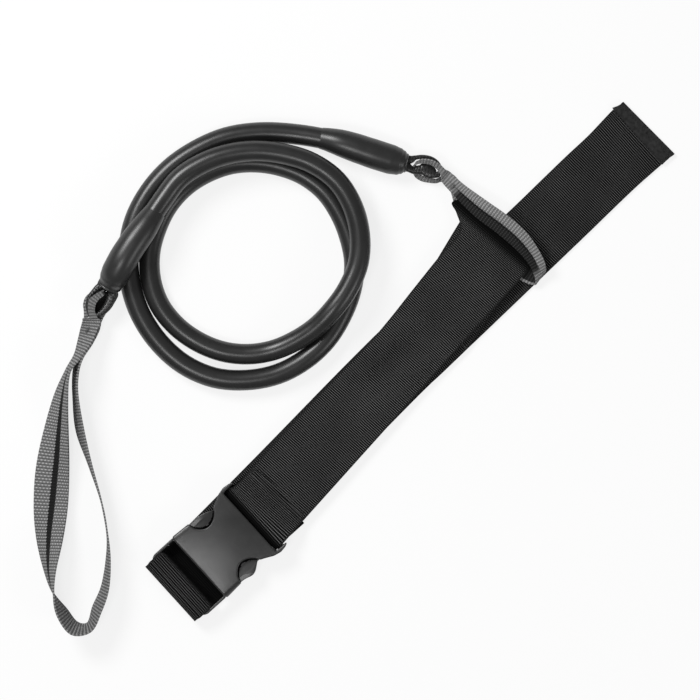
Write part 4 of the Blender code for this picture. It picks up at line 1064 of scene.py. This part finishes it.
# %% [markdown]
# ## The buckle
# The buckle is moulded acetal, so no edge of it is sharp and its top is gently crowned. The solid
# model has its walls, windows and bars. A bevel can fail on such a shape, where many small edges
# meet. So a copy of each part is remeshed in the buckle's own frame, relaxed until the edges are
# round, swollen where the real one is, and put back in its place. The faces of the two arms that
# lie under the edge of the socket's window get a nearly black painted shade, for that deep gap's shade.

# %% Swollen forms of the buckle


def crowned(u, v, z):
    """The socket's top wall swells by up to 1.7 mm, and its shoulders round off beside the mouth."""
    swell = 1.7 * (1 - (v / 30) ** 2) * max(1 - ((u - 23) / 24) ** 2, 0.0)
    shoulder = upto(abs(v) - 24.0, 3.8) * upto(16.0 - u, 3.0)
    drop = (3.2 if v < 0 else 0.8) * shoulder**2 * upto(z - 9.0, 4.0)
    return v, z + swell * upto(z - 13.8, 1.5) - drop


def padded(u, v, z):
    """A thumb pad swells inwards under the window's edge and rises. The one at -v also swells outwards."""
    near = bell(u, 24, 8.5)
    side = math.copysign(1.0, v)
    inner = upto(22.5 - abs(v), 3.0)
    outer = upto(abs(v) - 20.2, 3.0)
    lobe = 2.2 * bell(u, 25, 5.5) * outer if v < 0 else 0.0
    rise = 1.5 * near * outer * upto(z - 12.0, 1.2)
    return v - side * 3.2 * near * inner + side * lobe, z + rise


def window_edge(u):
    """How far from the middle the socket's window begins, in mm."""
    share = upto(u - 13.7, 20.7)
    return 27.8 - 3.9 * share - 9.6 * math.sin(math.pi * share**0.8) ** 0.7


print("the window's edge lies", round(window_edge(24.0), 1), "mm from the middle at the thumb pads")

# %% Moulded copies
MOULD_WELD = 0.000002
SHADE_MARGIN = 1.5


def mould(name, node, body, voxel, rounds, change=None):
    """A remeshed, relaxed copy of a node, in voxels of so many mm, changed in the buckle's own frame."""
    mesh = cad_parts[node].data.copy()
    mesh.transform(BUCKLE_FRAME.inverted())
    shape = bmesh.new()
    shape.from_mesh(mesh)
    bmesh.ops.remove_doubles(shape, verts=shape.verts, dist=MOULD_WELD)
    shape.to_mesh(mesh)
    shape.free()
    draft = bpy.data.objects.new(name + "_draft", mesh)
    bpy.context.scene.collection.objects.link(draft)
    skin = draft.modifiers.new("skin", "REMESH")
    skin.mode = "VOXEL"
    skin.voxel_size = voxel * MM
    relax = draft.modifiers.new("relax", "SMOOTH")
    relax.factor = 0.5
    relax.iterations = rounds
    graph = bpy.context.evaluated_depsgraph_get()
    made = bpy.data.meshes.new_from_object(draft.evaluated_get(graph))
    bpy.data.objects.remove(draft)
    for vert in made.vertices:
        if change:
            u, v, z = (c / MM for c in vert.co)
            v, z = change(u, v, z)
            vert.co = Vector((u, v, z)) * MM
    centres = [face.center / MM for face in made.polygons]
    made.transform(BUCKLE_FRAME)
    made.materials.clear()
    made.name = name
    obj = dress(bpy.data.objects.new(name, made), ACETAL, body)
    if change is padded:
        # Painted shade: faces under the window's edge take the near-black gap_shade.
        made.materials.append(SHADE)
        for face, (u, v, _) in zip(made.polygons, centres):
            face.material_index = int(abs(v) < window_edge(u) + SHADE_MARGIN)
    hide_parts(node)
    print(name, len(made.polygons), "faces")
    return obj


mould("socket_shell", "buckle_socket", "belt", 0.45, 5, crowned)
mould("plug_frame", "buckle_plug", "male", 0.5, 5)
mould("thumb_arm_left", "latch_arm_left", "latch_arm_left", 0.35, 6, padded)
mould("thumb_arm_right", "latch_arm_right", "latch_arm_right", 0.35, 6, padded)

# %% [markdown]
# ## Floor and light
# The tether lies on a white sheet. A plain white material comes out grey where a lamp is weak, so
# the sheet glows for rays from the camera and for mirrored ones, and stays paper for all others.
# It then looks white and still takes a soft shadow.

# %% Floor
floor_shape = bmesh.new()
bmesh.ops.create_circle(floor_shape, cap_ends=True, segments=64, radius=12.0)
floor_mesh = bpy.data.meshes.new("sheet")
floor_shape.to_mesh(floor_mesh)
floor_shape.free()
floor = bpy.data.objects.new("sheet", floor_mesh)
bpy.context.scene.collection.objects.link(floor)
paper = Finish("paper", 0.9)
paper.shader.inputs["Base Color"].default_value = (0.86, 0.86, 0.86, 1)
rays = paper.node("ShaderNodeLightPath").outputs
mirrored = paper.sum("ADD", rays["Is Glossy Ray"], rays["Is Transmission Ray"])
seen = paper.sum("ADD", rays["Is Camera Ray"], mirrored)
glow = paper.node("ShaderNodeEmission")
both = paper.node("ShaderNodeMixShader")
paper.feed(paper.sum("MULTIPLY", seen, 0.8), both.inputs[0])
paper.feed(paper.shader.outputs[0], both.inputs[1])
paper.feed(glow.outputs[0], both.inputs[2])
paper.feed(both.outputs[0], paper.tree.nodes["Material Output"].inputs["Surface"])
floor_mesh.materials.append(paper.material)

# %% [markdown]
# The photograph's light is soft and comes mostly from the upper left. A wide round lamp there makes
# the long highlights on the tube, a weaker one at the lower right opens the shadows, and a smaller
# one nearly overhead shapes the buckle. An even, pale sky fills in the rest.

# %% Lamps and sky


def lamp(name, place, size, power):
    """A round lamp at a place in metres that faces the middle of the scene."""
    data = bpy.data.lights.new(name, "AREA")
    data.shape = "DISK"
    data.size = size
    data.energy = power
    made = bpy.data.objects.new(name, data)
    bpy.context.scene.collection.objects.link(made)
    made.location = place
    made.rotation_euler = (Vector((0, 0, 0)) - Vector(place)).to_track_quat("-Z", "Y").to_euler()


lamp("window_light", (-0.9, 0.9, 1.3), 0.7, 24)
lamp("fill_light", (1.1, -0.7, 0.9), 0.6, 4)
lamp("top_light", (-0.45, -0.5, 1.7), 0.45, 8)
sky = bpy.data.worlds.new("sky")
sky.use_nodes = True
bpy.context.scene.world = sky
sky.node_tree.nodes["Background"].inputs[0].default_value = (0.93, 0.93, 0.93, 1)
sky.node_tree.nodes["Background"].inputs[1].default_value = 0.28
bpy.context.scene.view_settings.view_transform = "Standard"
